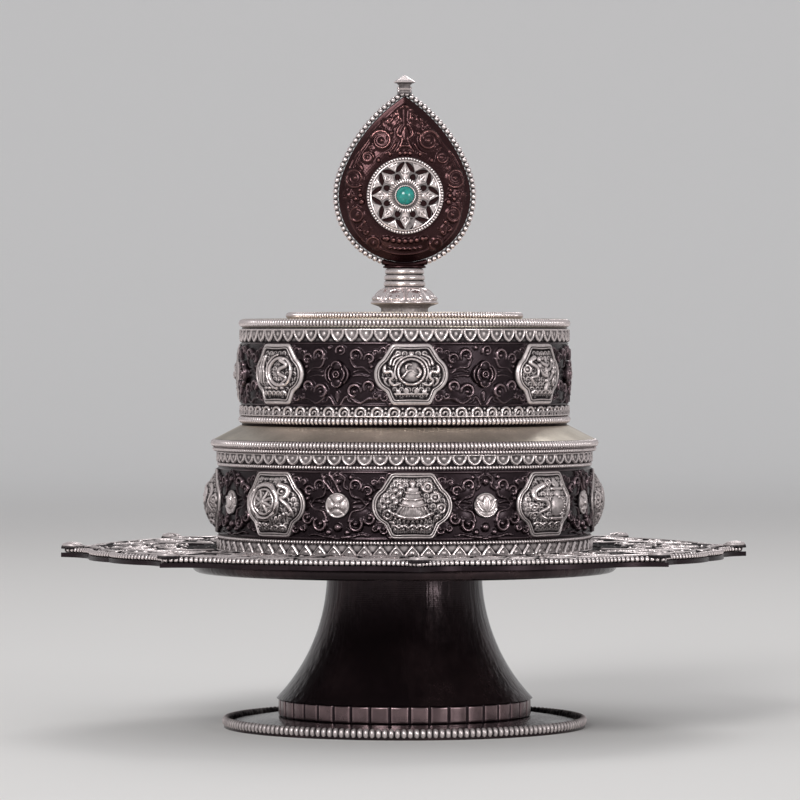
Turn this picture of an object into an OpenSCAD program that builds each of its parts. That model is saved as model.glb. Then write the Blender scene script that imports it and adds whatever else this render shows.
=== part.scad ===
// Mandala offering plate: footed tray, two ornamented tiers and a leaf finial, stacked by hand.
// Millimetres. +Z is up, -Y is the front, the origin is the centre of the foot's underside.

/* [Foot] */
// Diameter across the beaded rim of the foot
foot_d = 146; // [130:1:160]
// Thickness of the flange under the rim wire
foot_flange_t = 1.2; // [0.8:0.1:2]
// Height of the foot disc at its middle
foot_h = 4.4; // [3.5:0.1:6]
// Thickness of the foot's rim wire
foot_wire_d = 3.6; // [2.6:0.1:4.4]
// How far the panelled collar stands in from the flared bottom of the stem
collar_inset = 0.7; // [0.3:0.1:1.4]
// Height of the panelled collar
collar_h = 7.2; // [5:0.2:10]
// Thickness of the panelled collar
collar_t = 3; // [2:0.1:4]
// Number of panels round the collar
collar_panels = 40; // [24:1:48]
// Width of the grooves between panels
collar_groove_w = 0.9; // [0.5:0.1:1.4]
// Depth of the grooves between panels
collar_groove_d = 0.8; // [0.4:0.1:1.2]

/* [Stem] */
// Diameter of the stem at its flared bottom
stem_base_d = 102.4; // [94:0.2:110]
// Diameter of the stem at its top
stem_top_d = 62; // [54:1:70]
// Height of the stem
stem_h = 50.4; // [40:0.2:60]
// Thickness of the stem's sheet
stem_t = 1.6; // [1.2:0.1:2.4]
// Thickness of the plug in the stem's top
plug_t = 4; // [3:0.1:6]

/* [Pan] */
// Diameter of the pan
pan_d = 170; // [160:1:180]
// Height of the pan's rounded rim
pan_h = 6; // [5:0.1:8]
// Thickness of the pan's floor
pan_floor_t = 2; // [1.4:0.1:2.6]
// Diameter of the rivet that holds the pan
rivet_d = 5; // [4:0.5:6]
// Height of the rivet's head
rivet_head_h = 1.8; // [1.4:0.1:2]
// Thickness of the burr that the rivet is closed on
burr_t = 1; // [0.6:0.1:1.4]

/* [Petal tray] */
// Radius of the tray at the tips of its petals
petal_tip_r = 137.2; // [130:0.2:144]
// Radius of the tray where the petals' lobes begin
petal_cusp_r = 127; // [120:0.5:128]
// Half the angle that a petal's pointed tip takes up
petal_tip_angle = 8.5; // [6:0.5:10]
// Depth of the hollow flanks of a petal's tip
petal_flank_sag = 2.6; // [1.5:0.1:3.4]
// Height of the round lobes between the tips
petal_lobe_rise = 2.6; // [1.6:0.1:4]
// Thickness of the dark backing plate
plate_t = 1.8; // [1.2:0.1:3]
// Thickness of the silver overlay
overlay_t = 1; // [0.6:0.1:1.6]
// Height of the chased forms of each petal above the overlay
petal_relief_h = 1.7; // [1:0.1:2.2]
// Width of a petal's chased scrolls, border and veins
petal_ridge_w = 2; // [1.4:0.1:2.6]
// Width of the beaded wire along the edge
edge_wire_w = 2.2; // [1.6:0.1:3]
// Height of the beaded wire along the edge
edge_wire_h = 2.2; // [1.6:0.1:3]
// Diameter of the raised tips
tip_dome_d = 8; // [6:0.5:10]
// Height of the raised tips
tip_dome_h = 3; // [2:0.1:3.6]

/* [Lower tier] */
// Diameter of the lower tier's wall
lower_d = 148.4; // [140:0.2:152]
// Height of the lower tier's wall
lower_wall_h = 39.6; // [38:0.2:50]
// Thickness of the walls of both tiers
wall_t = 1.5; // [1.2:0.1:2]
// Height of the lappet strip at the base of the lower tier
lower_base_strip_h = 4.6; // [4:0.1:7]
// Height of the lappet strip at the top of the lower tier
lower_top_strip_h = 4.4; // [3.5:0.1:6]
// Thickness of the lappet strips
strip_t = 1; // [0.6:0.1:1.4]
// Radius of the fine beaded wires
fine_wire_r = 0.8; // [0.6:0.1:1.1]
// Width of the cornice beyond the wall
cornice_out = 1.8; // [1.2:0.1:2.6]
// Radius of the heavy beaded rim wire of the lower tier
lower_rim_r = 1.6; // [1.2:0.1:2]
// Rise of the sloping shoulder
shoulder_rise = 5.4; // [4:0.1:8]
// Thickness of the shoulder's sheet
shoulder_t = 1.4; // [1:0.1:2]
// Width of the lower medallions
lower_med_w = 31; // [28:0.2:36]
// Height of the lower medallions
lower_med_h = 25.4; // [22:0.2:26]
// How far the lower medallions stand out from the wall
lower_med_out = 6.8; // [5:0.1:8]
// Diameter of the small rosettes between the lower medallions
rosette_d = 10; // [8:0.2:12]
// How far the rosettes stand out from the wall
rosette_out = 2.8; // [2:0.1:4]
// Thickness of the rosettes at their edge
rosette_edge = 0.9; // [0.5:0.1:1.4]

/* [Upper tier] */
// Diameter of the upper tier's wall
upper_d = 130; // [120:0.2:132]
// Height of the upper tier's wall
upper_wall_h = 39; // [38:0.2:48]
// Radius of the beaded wire at the base of the upper tier
upper_base_wire_r = 1.5; // [1:0.1:2]
// Height of the lappet strip at the base of the upper tier
upper_base_strip_h = 4.2; // [4:0.1:6]
// Height of the lappet strip at the top of the upper tier
upper_top_strip_h = 5.2; // [3.5:0.1:6]
// Radius of the beaded rim wire of the upper tier
upper_rim_r = 1.6; // [1.2:0.1:2]
// Thickness of the deck that closes the upper tier
deck_t = 1.4; // [1:0.1:2]
// Width of the upper medallions
upper_med_w = 28.8; // [26:0.2:32]
// Height of the upper medallions
upper_med_h = 23.8; // [20:0.2:24]
// How far the upper medallions stand out from the wall
upper_med_out = 4.8; // [4:0.1:6]
// Diameter of the dark flowers between the upper medallions
flower_d = 10.6; // [9:0.2:12]
// Number of petals of a dark flower
flower_petals = 4; // [4:1:6]
// Thickness of a flower's petals
flower_t = 1.2; // [0.8:0.1:1.6]
// How far a flower's middle stands out from the wall
flower_out = 2; // [1.6:0.1:2.6]

/* [Top cap] */
// Diameter of the top cap's disc
top_d = 92.4; // [84:0.2:100]
// Thickness of the top cap's disc
top_t = 2.6; // [2.2:0.1:3.4]
// Radius of the top cap's beaded wire
top_wire_r = 1.3; // [0.9:0.1:1.6]
// Outer diameter of the socket tube
socket_d = 16; // [14:0.5:20]
// Length of the socket tube below the disc's top
socket_l = 17; // [12:0.5:22]

/* [Finial] */
// Diameter of the finial's peg
peg_d = 10; // [9:0.2:11]
// Length of the peg inside the socket
peg_l = 15; // [10:0.5:20]
// Height of the lotus base
lotus_h = 10.2; // [8:0.1:13]
// Diameter across the lotus petals
lotus_d = 27.8; // [24:0.2:32]
// Number of lotus petals
lotus_petals = 8; // [6:1:10]
// Height of each of the three neck rings
neck_ring_h = 2.5; // [2:0.1:3.2]
// Diameter of the lower neck rings
neck_d = 17; // [15:0.2:19]
// Radius of the round lower part of the leaf
leaf_r = 28.8; // [26:0.2:32]
// Height of the leaf's point above the middle of its round part
leaf_point = 42.8; // [40:0.2:48]
// Angle above level at which the leaf's sides leave the round part
leaf_turn = 20; // [16:1:24]
// Thickness of the leaf's core plate
leaf_plate_t = 2; // [1.6:0.1:2.6]
// Height of each domed leaf shell above the core plate
leaf_dome_h = 4.6; // [3.6:0.1:6]
// Thickness of the leaf shells
leaf_shell_t = 1.2; // [1:0.1:1.6]
// Width of the leaf's beaded edge wire
leaf_wire_w = 2.4; // [1.8:0.1:3]
// Thickness of the leaf's beaded edge wire
leaf_wire_t = 3.4; // [2.8:0.1:4]
// Width of the tab that joins the leaf to the peg
tab_w = 7; // [5:0.2:8]
// Radius of the openwork wheel
wheel_r = 15.4; // [13:0.2:17]
// Thickness of the openwork wheel
wheel_t = 1.2; // [0.8:0.1:2]
// Radius of the turquoise stone
stone_r = 4; // [3:0.1:5]
// Height of the turquoise stone
stone_h = 2.6; // [1.8:0.1:3.4]
// Half-width of the pyramid on the finial
apex_r = 4.2; // [3:0.1:5]
// Height of the pyramid on the finial
apex_h = 3.6; // [2.6:0.1:5]

/* [Clearances] */
// Radial play of each loose piece in its seat
seat_play = 0.3; // [0.2:0.05:0.5]
// Room that solder fills between fixed curved faces
solder_gap = 0.05; // [0.03:0.01:0.1]

/* [Hidden] */
$fn = 96;

// Directions in plan
front = -90;
petal_count = 8;
lower_med_count = 8;
upper_med_count = 7;
petal_step = 360 / petal_count;
lower_step = 360 / lower_med_count;
upper_step = 360 / upper_med_count;

// Heights of the seats, from the foot upwards
z_collar = foot_h;
z_stem = z_collar + collar_h;
z_pan = z_stem + stem_h;
z_plate = z_pan + pan_h;
z_overlay = z_plate + plate_t;
z_lower = z_overlay + overlay_t;
z_cornice = z_lower + lower_wall_h;
cornice_h = 2 * fine_wire_r + 2 * lower_rim_r;
z_shoulder = z_cornice + cornice_h;
z_upper = z_shoulder + shoulder_rise;
z_deck = z_upper + upper_wall_h;
deck_h = 2 * upper_rim_r + 0.2;
z_top = z_deck + deck_h;
z_lotus = z_top + top_t;
z_neck = z_lotus + lotus_h;
z_leaf = z_neck + 3 * neck_ring_h;
z_wheel = z_leaf + leaf_r;
z_tip = z_wheel + leaf_point;

// Radii of the stand
foot_wire_r = foot_wire_d / 2;
foot_wire_sink = 0.2;
foot_ledge_r = foot_d / 2 - 2 * foot_wire_r - seat_play;
foot_ledge_h = 1;
collar_margin = 4;
collar_border = 0.8;
foot_wire_seat_r = foot_d / 2 - foot_wire_r;
flange_r = foot_wire_seat_r + foot_wire_r * 0.6;
stem_base_r = stem_base_d / 2;
collar_r = stem_base_r - collar_inset;
stem_top_r = stem_top_d / 2;
stem_flare = stem_base_r - stem_top_r;
stem_curve_r = (stem_h * stem_h + stem_flare * stem_flare) / (2 * stem_flare);
plug_r = stem_top_r - stem_t - solder_gap;
pan_r = pan_d / 2;
rivet_r = rivet_d / 2;
rivet_hole_r = rivet_r + solder_gap;
rivet_head_r = rivet_d * 1.1;
burr_r = rivet_d * 1.2;

// Radii of the tiers
lower_r = lower_d / 2;
lower_in_r = lower_r - wall_t;
register_r = lower_in_r - seat_play;
register_in_r = register_r - wall_t;
register_up = 4.8;
register_down = 2.2;
pan_recess_r = register_r + seat_play;
lower_strip_r = lower_r + solder_gap;
cornice_r = lower_r + cornice_out;
upper_r = upper_d / 2;
upper_in_r = upper_r - wall_t;
upstand_r = upper_in_r - seat_play;
upstand_in_r = upstand_r - shoulder_t;
upstand_h = 4.6;
shoulder_top_r = upper_r + 0.6;
shoulder_foot_w = 3;
upper_strip_r = upper_r + solder_gap;
deck_r = upper_r - 0.2;
deck_rim_in_r = upper_in_r - 2;

// Heights of the rings on the lower tier
z_lower_fine = z_lower + lower_base_strip_h + fine_wire_r;
z_lower_top_strip = z_cornice - lower_top_strip_h;
z_lower_fine_top = z_lower_top_strip - fine_wire_r;
z_cornice_wire = z_cornice + fine_wire_r;
z_lower_rim = z_cornice + 2 * fine_wire_r + lower_rim_r;
z_lower_med = (z_lower_fine + z_lower_fine_top) / 2;

// Heights of the rings on the upper tier
z_upper_base_wire = z_upper + 0.9 + upper_base_wire_r;
z_upper_base_strip = z_upper_base_wire + upper_base_wire_r + 0.1;
z_upper_top_strip = z_deck - upper_top_strip_h - 0.6;
z_upper_rim = z_deck + deck_h / 2;
z_upper_med = (z_upper_base_strip + upper_base_strip_h + z_upper_top_strip) / 2;

// Petal tray: where a tip's hollow flank begins and the circle that hollows it
petal_cusp = [petal_cusp_r * cos(petal_tip_angle), petal_cusp_r * sin(petal_tip_angle)];
petal_chord = [petal_tip_r - petal_cusp[0], -petal_cusp[1]];
petal_chord_l = norm(petal_chord);
petal_chord_mid = petal_cusp + petal_chord / 2;
petal_chord_out = [-petal_chord[1], petal_chord[0]] / petal_chord_l;
petal_flank_r = (petal_chord_l * petal_chord_l / 4 + petal_flank_sag * petal_flank_sag) / (2 * petal_flank_sag);
petal_flank_c = petal_chord_mid + petal_chord_out * (petal_flank_r - petal_flank_sag);
lobe_half_angle = (petal_step / 2 - petal_tip_angle) / 2;
lobe_mid_angle = petal_step / 2 - lobe_half_angle;
lobe_half_chord = petal_cusp_r * sin(lobe_half_angle);
lobe_r = (lobe_half_chord * lobe_half_chord + petal_lobe_rise * petal_lobe_rise) / (2 * petal_lobe_rise);
lobe_c = petal_cusp_r * cos(lobe_half_angle) + petal_lobe_rise - lobe_r;

// Petal tray: the chased forms of a petal, each scroll as its distance outwards from the root, sideways and radius
relief_root_r = lower_r + 8.5;
relief_border = edge_wire_w + 2.4;
relief_vein_l = petal_cusp_r - relief_border - relief_root_r;
petal_scrolls = [[27, 12.5, 8], [22, 27.5, 7.2], [12.5, 9, 4.8], [28, 40, 5.6]];
heart_mid = 32;
heart_l = 20;
heart_w = 8.4;
heart_r = (heart_l * heart_l + heart_w * heart_w) / (4 * heart_w);

// Finial
socket_r = socket_d / 2;
peg_r = peg_d / 2;
socket_bore_r = peg_r + seat_play;
socket_hole_r = socket_r + seat_play;
neck_bore_r = peg_r + solder_gap;
neck_r = neck_d / 2;
neck_top_r = neck_r - 1;
lotus_lobe_r = 4.1;
tab_l = 8;
tab_play = 0.05;
leaf_k = (leaf_point * leaf_point - leaf_r * leaf_r) / (2 * (leaf_r - leaf_point * sin(leaf_turn)));
leaf_side_r = leaf_r + leaf_k;
leaf_steps = 72;
shell_rings = 6;
wheel_seat_r = wheel_r + 0.8;
shell_y = leaf_plate_t / 2;
wheel_y = shell_y + leaf_dome_h;
bezel_r = stone_r + 1.4;
bezel_h = 2;
stone_y = wheel_y + wheel_t;
stone_ball_r = (stone_r * stone_r + stone_h * stone_h) / (2 * stone_h);
stone_girdle_h = 1;
apex_collar_r = 2.8;
apex_collar_h = 2;
apex_grip = 2.2;

// Distance from the leaf's middle to its outline, drawn in by inset
function leaf_edge(t, inset) =
    let (along = -leaf_k * (abs(cos(t)) * cos(leaf_turn) + sin(t) * sin(leaf_turn)), side = leaf_side_r - inset)
    sin(t) > sin(leaf_turn) ? along + sqrt(along * along - leaf_k * leaf_k + side * side) : leaf_r - inset;

// Points of the leaf's outline, drawn in by inset
function leaf_points(inset) =
    [for (i = [0 : leaf_steps - 1]) let (t = 90 + i * 360 / leaf_steps) leaf_edge(t, inset) * [cos(t), sin(t)]];

// Height of a leaf shell at share s of the way from its edge to the wheel's seat
function shell_height(s, low, high) = low + (high - low) * sin(90 * s);

// One ring of points of a leaf shell
function shell_ring(s, inset, seat_r, low, high) =
    [for (p = leaf_points(inset)) let (d = norm(p), r = seat_r + (d - seat_r) * (1 - s))
        [p[0] / d * r, p[1] / d * r, shell_height(s, low, high)]];

// Ring of revolution with a square section
module tube(r_out, r_in, z, h) {
    translate([0, 0, z])
        difference() {
            cylinder(r = r_out, h = h);
            translate([0, 0, -1]) cylinder(r = r_in, h = h + 2);
        }
}

// Half-round wire soldered round a wall of radius r
module half_wire(r, wire_r, z) {
    rotate_extrude()
        intersection() {
            translate([r, z]) circle(wire_r);
            translate([r + solder_gap, z - wire_r]) square([wire_r, 2 * wire_r]);
        }
}

// Outline of the petal tray, drawn in by inset
module petal_outline(inset) {
    circle(petal_cusp_r - inset);
    for (k = [0 : petal_count - 1])
        rotate(front + k * petal_step) {
            for (side = [-1, 1])
                rotate(side * lobe_mid_angle) translate([lobe_c, 0]) circle(lobe_r - inset);
            difference() {
                polygon([[0, 0], [petal_cusp[0], -petal_cusp[1]], [petal_tip_r, 0], petal_cusp]);
                for (side = [-1, 1])
                    translate([petal_flank_c[0], side * petal_flank_c[1]]) circle(petal_flank_r + inset);
            }
        }
}

// Chased forms of one petal, drawn outwards along +X: a pointed heart leaf, and scrolls and a vein on each side
module petal_relief() {
    intersection_for (side = [-1, 1])
        translate([relief_root_r + heart_mid, side * (heart_r - heart_w / 2)]) circle(heart_r);
    for (side = [-1, 1], scroll = petal_scrolls)
        translate([relief_root_r + scroll[0], side * scroll[1]]) {
            difference() {
                circle(scroll[2] + petal_ridge_w / 2);
                circle(scroll[2] - petal_ridge_w / 2);
            }
            circle(scroll[2] * 0.4);
        }
    rotate(petal_step / 2) translate([relief_root_r, -petal_ridge_w / 2]) square([relief_vein_l, petal_ridge_w]);
}

// Outline of a medallion: a body with cut corners and a round lobe on each side
module cartouche(w, h) {
    lobe = h * 0.305;
    polygon([[-w * 0.26, -h / 2], [w * 0.26, -h / 2], [w * 0.345, -h * 0.28], [w * 0.375, h * 0.28],
        [w * 0.26, h / 2], [-w * 0.26, h / 2], [-w * 0.375, h * 0.28], [-w * 0.345, -h * 0.28]]);
    for (side = [-1, 1])
        translate([side * (w / 2 - lobe), 0]) circle(lobe);
}

// Medallion that faces +X on a wall of radius r
module medallion(r, w, h, out, z) {
    border = 1.8;
    frame_t = 1.8;
    swell = out - frame_t * 0.6;
    ball = (w * w / 4 + swell * swell) / (2 * swell);
    difference() {
        union() {
            intersection() {
                rotate([90, 0, 90]) translate([0, z, 0]) linear_extrude(r + out) cartouche(w, h);
                cylinder(r = r + frame_t, h = z + h);
            }
            intersection() {
                rotate([90, 0, 90]) translate([0, z, 0])
                    linear_extrude(r + out + 1) cartouche(w - 2 * border, h - 2 * border);
                translate([r + out - ball, 0, z]) sphere(ball);
            }
        }
        cylinder(r = r + solder_gap, h = z + h);
    }
}

module lower_medallion(k) {
    rotate(front + k * lower_step) medallion(lower_r, lower_med_w, lower_med_h, lower_med_out, z_lower_med);
}

module upper_medallion(k) {
    rotate(front + k * upper_step) medallion(upper_r, upper_med_w, upper_med_h, upper_med_out, z_upper_med);
}

module foot_disc() {
    color("#2a2022")
        rotate_extrude()
            polygon([[0, 0], [flange_r, 0], [flange_r, foot_flange_t],
                [foot_ledge_r, foot_flange_t], [foot_ledge_r, foot_flange_t + foot_ledge_h],
                [collar_r + collar_margin, foot_h], [0, foot_h]]);
}

module foot_rim_wire() {
    color("#c9c2bd")
        rotate_extrude()
            intersection() {
                translate([foot_wire_seat_r, foot_flange_t + foot_wire_r * (1 - foot_wire_sink)]) circle(foot_wire_r);
                translate([foot_wire_seat_r - foot_wire_r, foot_flange_t]) square(2 * foot_wire_r);
            }
}

module panel_collar() {
    color("#4a3a3d")
        difference() {
            tube(collar_r, collar_r - collar_t, z_collar, collar_h);
            for (k = [0 : collar_panels - 1])
                rotate(k * 360 / collar_panels)
                    translate([collar_r - collar_groove_d, -collar_groove_w / 2, z_collar + collar_border])
                        cube([2 * collar_groove_d, collar_groove_w, collar_h - 2 * collar_border]);
        }
}

module stem() {
    color("#1d191b")
        translate([0, 0, z_stem])
            rotate_extrude()
                intersection() {
                    square([stem_base_r, stem_h]);
                    translate([stem_top_r + stem_curve_r, stem_h])
                        difference() {
                            circle(stem_curve_r + stem_t);
                            circle(stem_curve_r);
                        }
                }
}

module stem_plug() {
    color("#6b4a35")
        tube(plug_r, rivet_hole_r, z_pan - plug_t, plug_t);
}

module pan() {
    color("#1d191b")
        rotate_extrude()
            difference() {
                union() {
                    translate([rivet_hole_r, z_pan]) square([pan_r - pan_h / 2 - rivet_hole_r, pan_h]);
                    translate([pan_r - pan_h / 2, z_pan + pan_h / 2]) circle(pan_h / 2);
                }
                translate([0, z_pan + pan_floor_t]) square([pan_recess_r, pan_h]);
            }
}

module pan_rivet() {
    color("#6b4a35")
        union() {
            translate([0, 0, z_pan - plug_t - burr_t]) cylinder(r = rivet_r, h = plug_t + burr_t + pan_floor_t);
            translate([0, 0, z_pan + pan_floor_t])
                cylinder(r1 = rivet_head_r, r2 = rivet_r, h = rivet_head_h);
            translate([0, 0, z_pan - plug_t - burr_t - rivet_head_h])
                cylinder(r1 = rivet_r * 0.8, r2 = rivet_r * 1.5, h = rivet_head_h);
        }
}

module rivet_burr() {
    color("#6b4a35")
        tube(burr_r, rivet_hole_r, z_pan - plug_t - burr_t, burr_t);
}

module petal_plate() {
    color("#2a2022")
        difference() {
            translate([0, 0, z_plate]) linear_extrude(plate_t) petal_outline(0);
            translate([0, 0, z_plate - 1]) cylinder(r = register_r + solder_gap, h = plate_t + 2);
        }
}

module petal_overlay() {
    color("#b9b1ac")
        difference() {
            union() {
                translate([0, 0, z_overlay]) linear_extrude(overlay_t) petal_outline(edge_wire_w + solder_gap);
                translate([0, 0, z_overlay]) linear_extrude(overlay_t + petal_relief_h)
                    difference() {
                        petal_outline(relief_border);
                        petal_outline(relief_border + petal_ridge_w);
                    }
                for (k = [0 : petal_count - 1])
                    rotate(front + k * petal_step)
                        translate([0, 0, z_overlay]) linear_extrude(overlay_t + petal_relief_h) petal_relief();
            }
            translate([0, 0, z_overlay - 1])
                cylinder(r = register_r + solder_gap, h = overlay_t + petal_relief_h + 2);
            for (k = [0 : petal_count - 1])
                rotate(front + k * petal_step)
                    translate([petal_tip_r - tip_dome_d / 2, 0, z_overlay + edge_wire_h - solder_gap])
                        cylinder(r = tip_dome_d / 2 + solder_gap, h = overlay_t + petal_relief_h);
        }
}

module petal_edge_wire() {
    color("#c9c2bd")
        translate([0, 0, z_overlay])
            linear_extrude(edge_wire_h)
                difference() {
                    petal_outline(0);
                    petal_outline(edge_wire_w);
                }
}

module petal_tips() {
    tip_ball = (tip_dome_d * tip_dome_d / 4 + tip_dome_h * tip_dome_h) / (2 * tip_dome_h);
    color("#cfc3ae")
        for (k = [0 : petal_count - 1])
            rotate(front + k * petal_step)
                translate([petal_tip_r - tip_dome_d / 2, 0, z_overlay + edge_wire_h])
                    intersection() {
                        translate([0, 0, tip_dome_h - tip_ball]) sphere(tip_ball);
                        cylinder(r = tip_dome_d, h = tip_dome_h + 1);
                    }
}

module plate_register() {
    color("#6b4a35")
        tube(register_r, register_in_r, z_plate - register_down, register_down + plate_t + overlay_t + register_up);
}

module lower_wall() {
    color("#33262a")
        tube(lower_r, lower_in_r, z_lower, lower_wall_h);
}

module lower_base_strip() {
    color("#c9c2bd")
        tube(lower_strip_r + strip_t, lower_strip_r, z_lower, lower_base_strip_h);
}

module lower_fine_wires() {
    color("#c9c2bd") {
        half_wire(lower_r, fine_wire_r, z_lower_fine);
        half_wire(lower_r, fine_wire_r, z_lower_fine_top);
        half_wire(cornice_r, fine_wire_r, z_cornice_wire);
    }
}

module lower_top_strip() {
    color("#c9c2bd")
        tube(lower_strip_r + strip_t, lower_strip_r, z_lower_top_strip, lower_top_strip_h);
}

module lower_cornice() {
    color("#5b5049")
        tube(cornice_r, lower_in_r, z_cornice, cornice_h);
}

module lower_rim_wire() {
    color("#c9c2bd")
        half_wire(cornice_r, lower_rim_r, z_lower_rim);
}

module lower_shoulder() {
    color("#787064")
        rotate_extrude()
            polygon([[cornice_r, z_shoulder], [shoulder_top_r, z_upper], [upstand_r, z_upper],
                [upstand_r, z_upper + upstand_h], [upstand_in_r, z_upper + upstand_h],
                [upstand_in_r, z_upper - shoulder_t], [shoulder_top_r - shoulder_t / 2, z_upper - shoulder_t],
                [cornice_r - shoulder_foot_w, z_shoulder]]);
}

module lower_rosettes() {
    swell = rosette_out - rosette_edge;
    ball = (rosette_d * rosette_d / 4 + swell * swell) / (2 * swell);
    color("#c9c2bd")
        for (k = [0 : lower_med_count - 1])
            rotate(front + (k + 0.5) * lower_step)
                intersection() {
                    translate([lower_r + rosette_out - ball, 0, z_lower_med]) sphere(ball);
                    translate([lower_r + solder_gap, 0, z_lower_med])
                        rotate([0, 90, 0]) cylinder(r = rosette_d / 2, h = rosette_out);
                }
}

module medallion_parasol() {
    color("#b9b1ac") lower_medallion(0);
}

module medallion_vase() {
    color("#b9b1ac") lower_medallion(1);
}

module medallion_lotus() {
    color("#b9b1ac") lower_medallion(2);
}

module medallion_knot() {
    color("#b9b1ac") lower_medallion(3);
}

module medallion_fish() {
    color("#b9b1ac") lower_medallion(4);
}

module medallion_banner() {
    color("#b9b1ac") lower_medallion(5);
}

module medallion_conch() {
    color("#b9b1ac") lower_medallion(6);
}

module medallion_wheel() {
    color("#b9b1ac") lower_medallion(7);
}

module upper_wall() {
    color("#33262a")
        tube(upper_r, upper_in_r, z_upper, upper_wall_h);
}

module upper_base_wire() {
    color("#c9c2bd")
        half_wire(upper_r, upper_base_wire_r, z_upper_base_wire);
}

module upper_base_strip() {
    color("#c9c2bd")
        tube(upper_strip_r + strip_t, upper_strip_r, z_upper_base_strip, upper_base_strip_h);
}

module upper_top_strip() {
    color("#c9c2bd")
        tube(upper_strip_r + strip_t, upper_strip_r, z_upper_top_strip, upper_top_strip_h);
}

module upper_deck() {
    color("#5b5049")
        rotate_extrude()
            polygon([[socket_hole_r, z_top - deck_t], [deck_rim_in_r, z_top - deck_t], [deck_rim_in_r, z_deck],
                [deck_r, z_deck], [deck_r, z_top], [socket_hole_r, z_top]]);
}

module upper_rim_wire() {
    color("#c9c2bd")
        half_wire(deck_r, upper_rim_r, z_upper_rim);
}

// Outline of a dark flower
module flower() {
    petal_r = flower_d * 0.2;
    circle(flower_d / 2 - petal_r);
    for (p = [0 : flower_petals - 1])
        rotate(90 + p * 360 / flower_petals) translate([flower_d / 2 - petal_r, 0]) circle(petal_r);
}

module upper_flowers() {
    color("#3a2c30")
        for (k = [0 : upper_med_count - 1])
            rotate(front + (k + 0.5) * upper_step)
                difference() {
                    union() {
                        intersection() {
                            rotate([90, 0, 90]) translate([0, z_upper_med, 0])
                                linear_extrude(upper_r + flower_out) flower();
                            cylinder(r = upper_r + flower_t, h = z_upper_med + flower_d);
                        }
                        translate([0, 0, z_upper_med])
                            rotate([0, 90, 0]) cylinder(r = flower_d * 0.18, h = upper_r + flower_out);
                    }
                    cylinder(r = upper_r + solder_gap, h = z_upper_med + flower_d);
                }
}

module emblem_jewel() {
    color("#b9b1ac") upper_medallion(0);
}

module emblem_coral() {
    color("#b9b1ac") upper_medallion(1);
}

module emblem_tusks() {
    color("#b9b1ac") upper_medallion(2);
}

module emblem_horn() {
    color("#b9b1ac") upper_medallion(3);
}

module emblem_earrings() {
    color("#b9b1ac") upper_medallion(4);
}

module emblem_gems() {
    color("#b9b1ac") upper_medallion(5);
}

module emblem_disc() {
    color("#b9b1ac") upper_medallion(6);
}

module top_disc() {
    color("#5b5049")
        tube(top_d / 2, socket_r + solder_gap, z_top, top_t);
}

module top_wire() {
    color("#c9c2bd")
        half_wire(top_d / 2, top_wire_r, z_top + top_t / 2);
}

module finial_socket() {
    color("#6b4a35")
        tube(socket_r, socket_bore_r, z_lotus - socket_l, socket_l);
}

module finial_peg() {
    color("#6b4a35")
        difference() {
            translate([0, 0, z_lotus - peg_l]) cylinder(r = peg_r, h = peg_l + z_leaf - z_lotus);
            translate([-tab_w / 2 - tab_play, -leaf_plate_t / 2 - tab_play, z_leaf - tab_l - tab_play])
                cube([tab_w + 2 * tab_play, leaf_plate_t + 2 * tab_play, tab_l + 1]);
        }
}

module lotus_base() {
    lobe_ring_r = lotus_d / 2 - lotus_lobe_r;
    color("#a89c94")
        difference() {
            union() {
                rotate_extrude()
                    polygon([[0, z_lotus], [lobe_ring_r, z_lotus], [lotus_d / 2 - 1, z_lotus + lotus_h * 0.36],
                        [lobe_ring_r + 0.6, z_lotus + lotus_h * 0.68], [neck_top_r, z_neck], [0, z_neck]]);
                for (k = [0 : lotus_petals - 1])
                    rotate(front + (k + 0.5) * 360 / lotus_petals)
                        translate([lobe_ring_r, 0, z_lotus + lotus_lobe_r + 0.1]) sphere(lotus_lobe_r);
            }
            translate([0, 0, z_lotus - 1]) cylinder(r = neck_bore_r, h = lotus_h + 2);
        }
}

// Neck ring of radius r, with a hair of solder between it and the next
module neck_ring(r, z) {
    round_r = (neck_ring_h - solder_gap) / 2;
    rotate_extrude()
        union() {
            translate([neck_bore_r, z]) square([r - round_r - neck_bore_r, 2 * round_r]);
            translate([r - round_r, z + round_r]) circle(round_r);
        }
}

module neck_rings() {
    color("#c9c2bd") {
        neck_ring(neck_r, z_neck);
        neck_ring(neck_r, z_neck + neck_ring_h);
        neck_ring(neck_top_r, z_neck + 2 * neck_ring_h);
    }
}

module leaf_plate() {
    color("#33262a")
        union() {
            translate([0, leaf_plate_t / 2, z_wheel])
                rotate([90, 0, 0]) linear_extrude(leaf_plate_t) polygon(leaf_points(leaf_wire_w + solder_gap));
            translate([-tab_w / 2, -leaf_plate_t / 2, z_leaf - tab_l])
                cube([tab_w, leaf_plate_t, tab_l + leaf_wire_w + 2]);
        }
}

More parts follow.
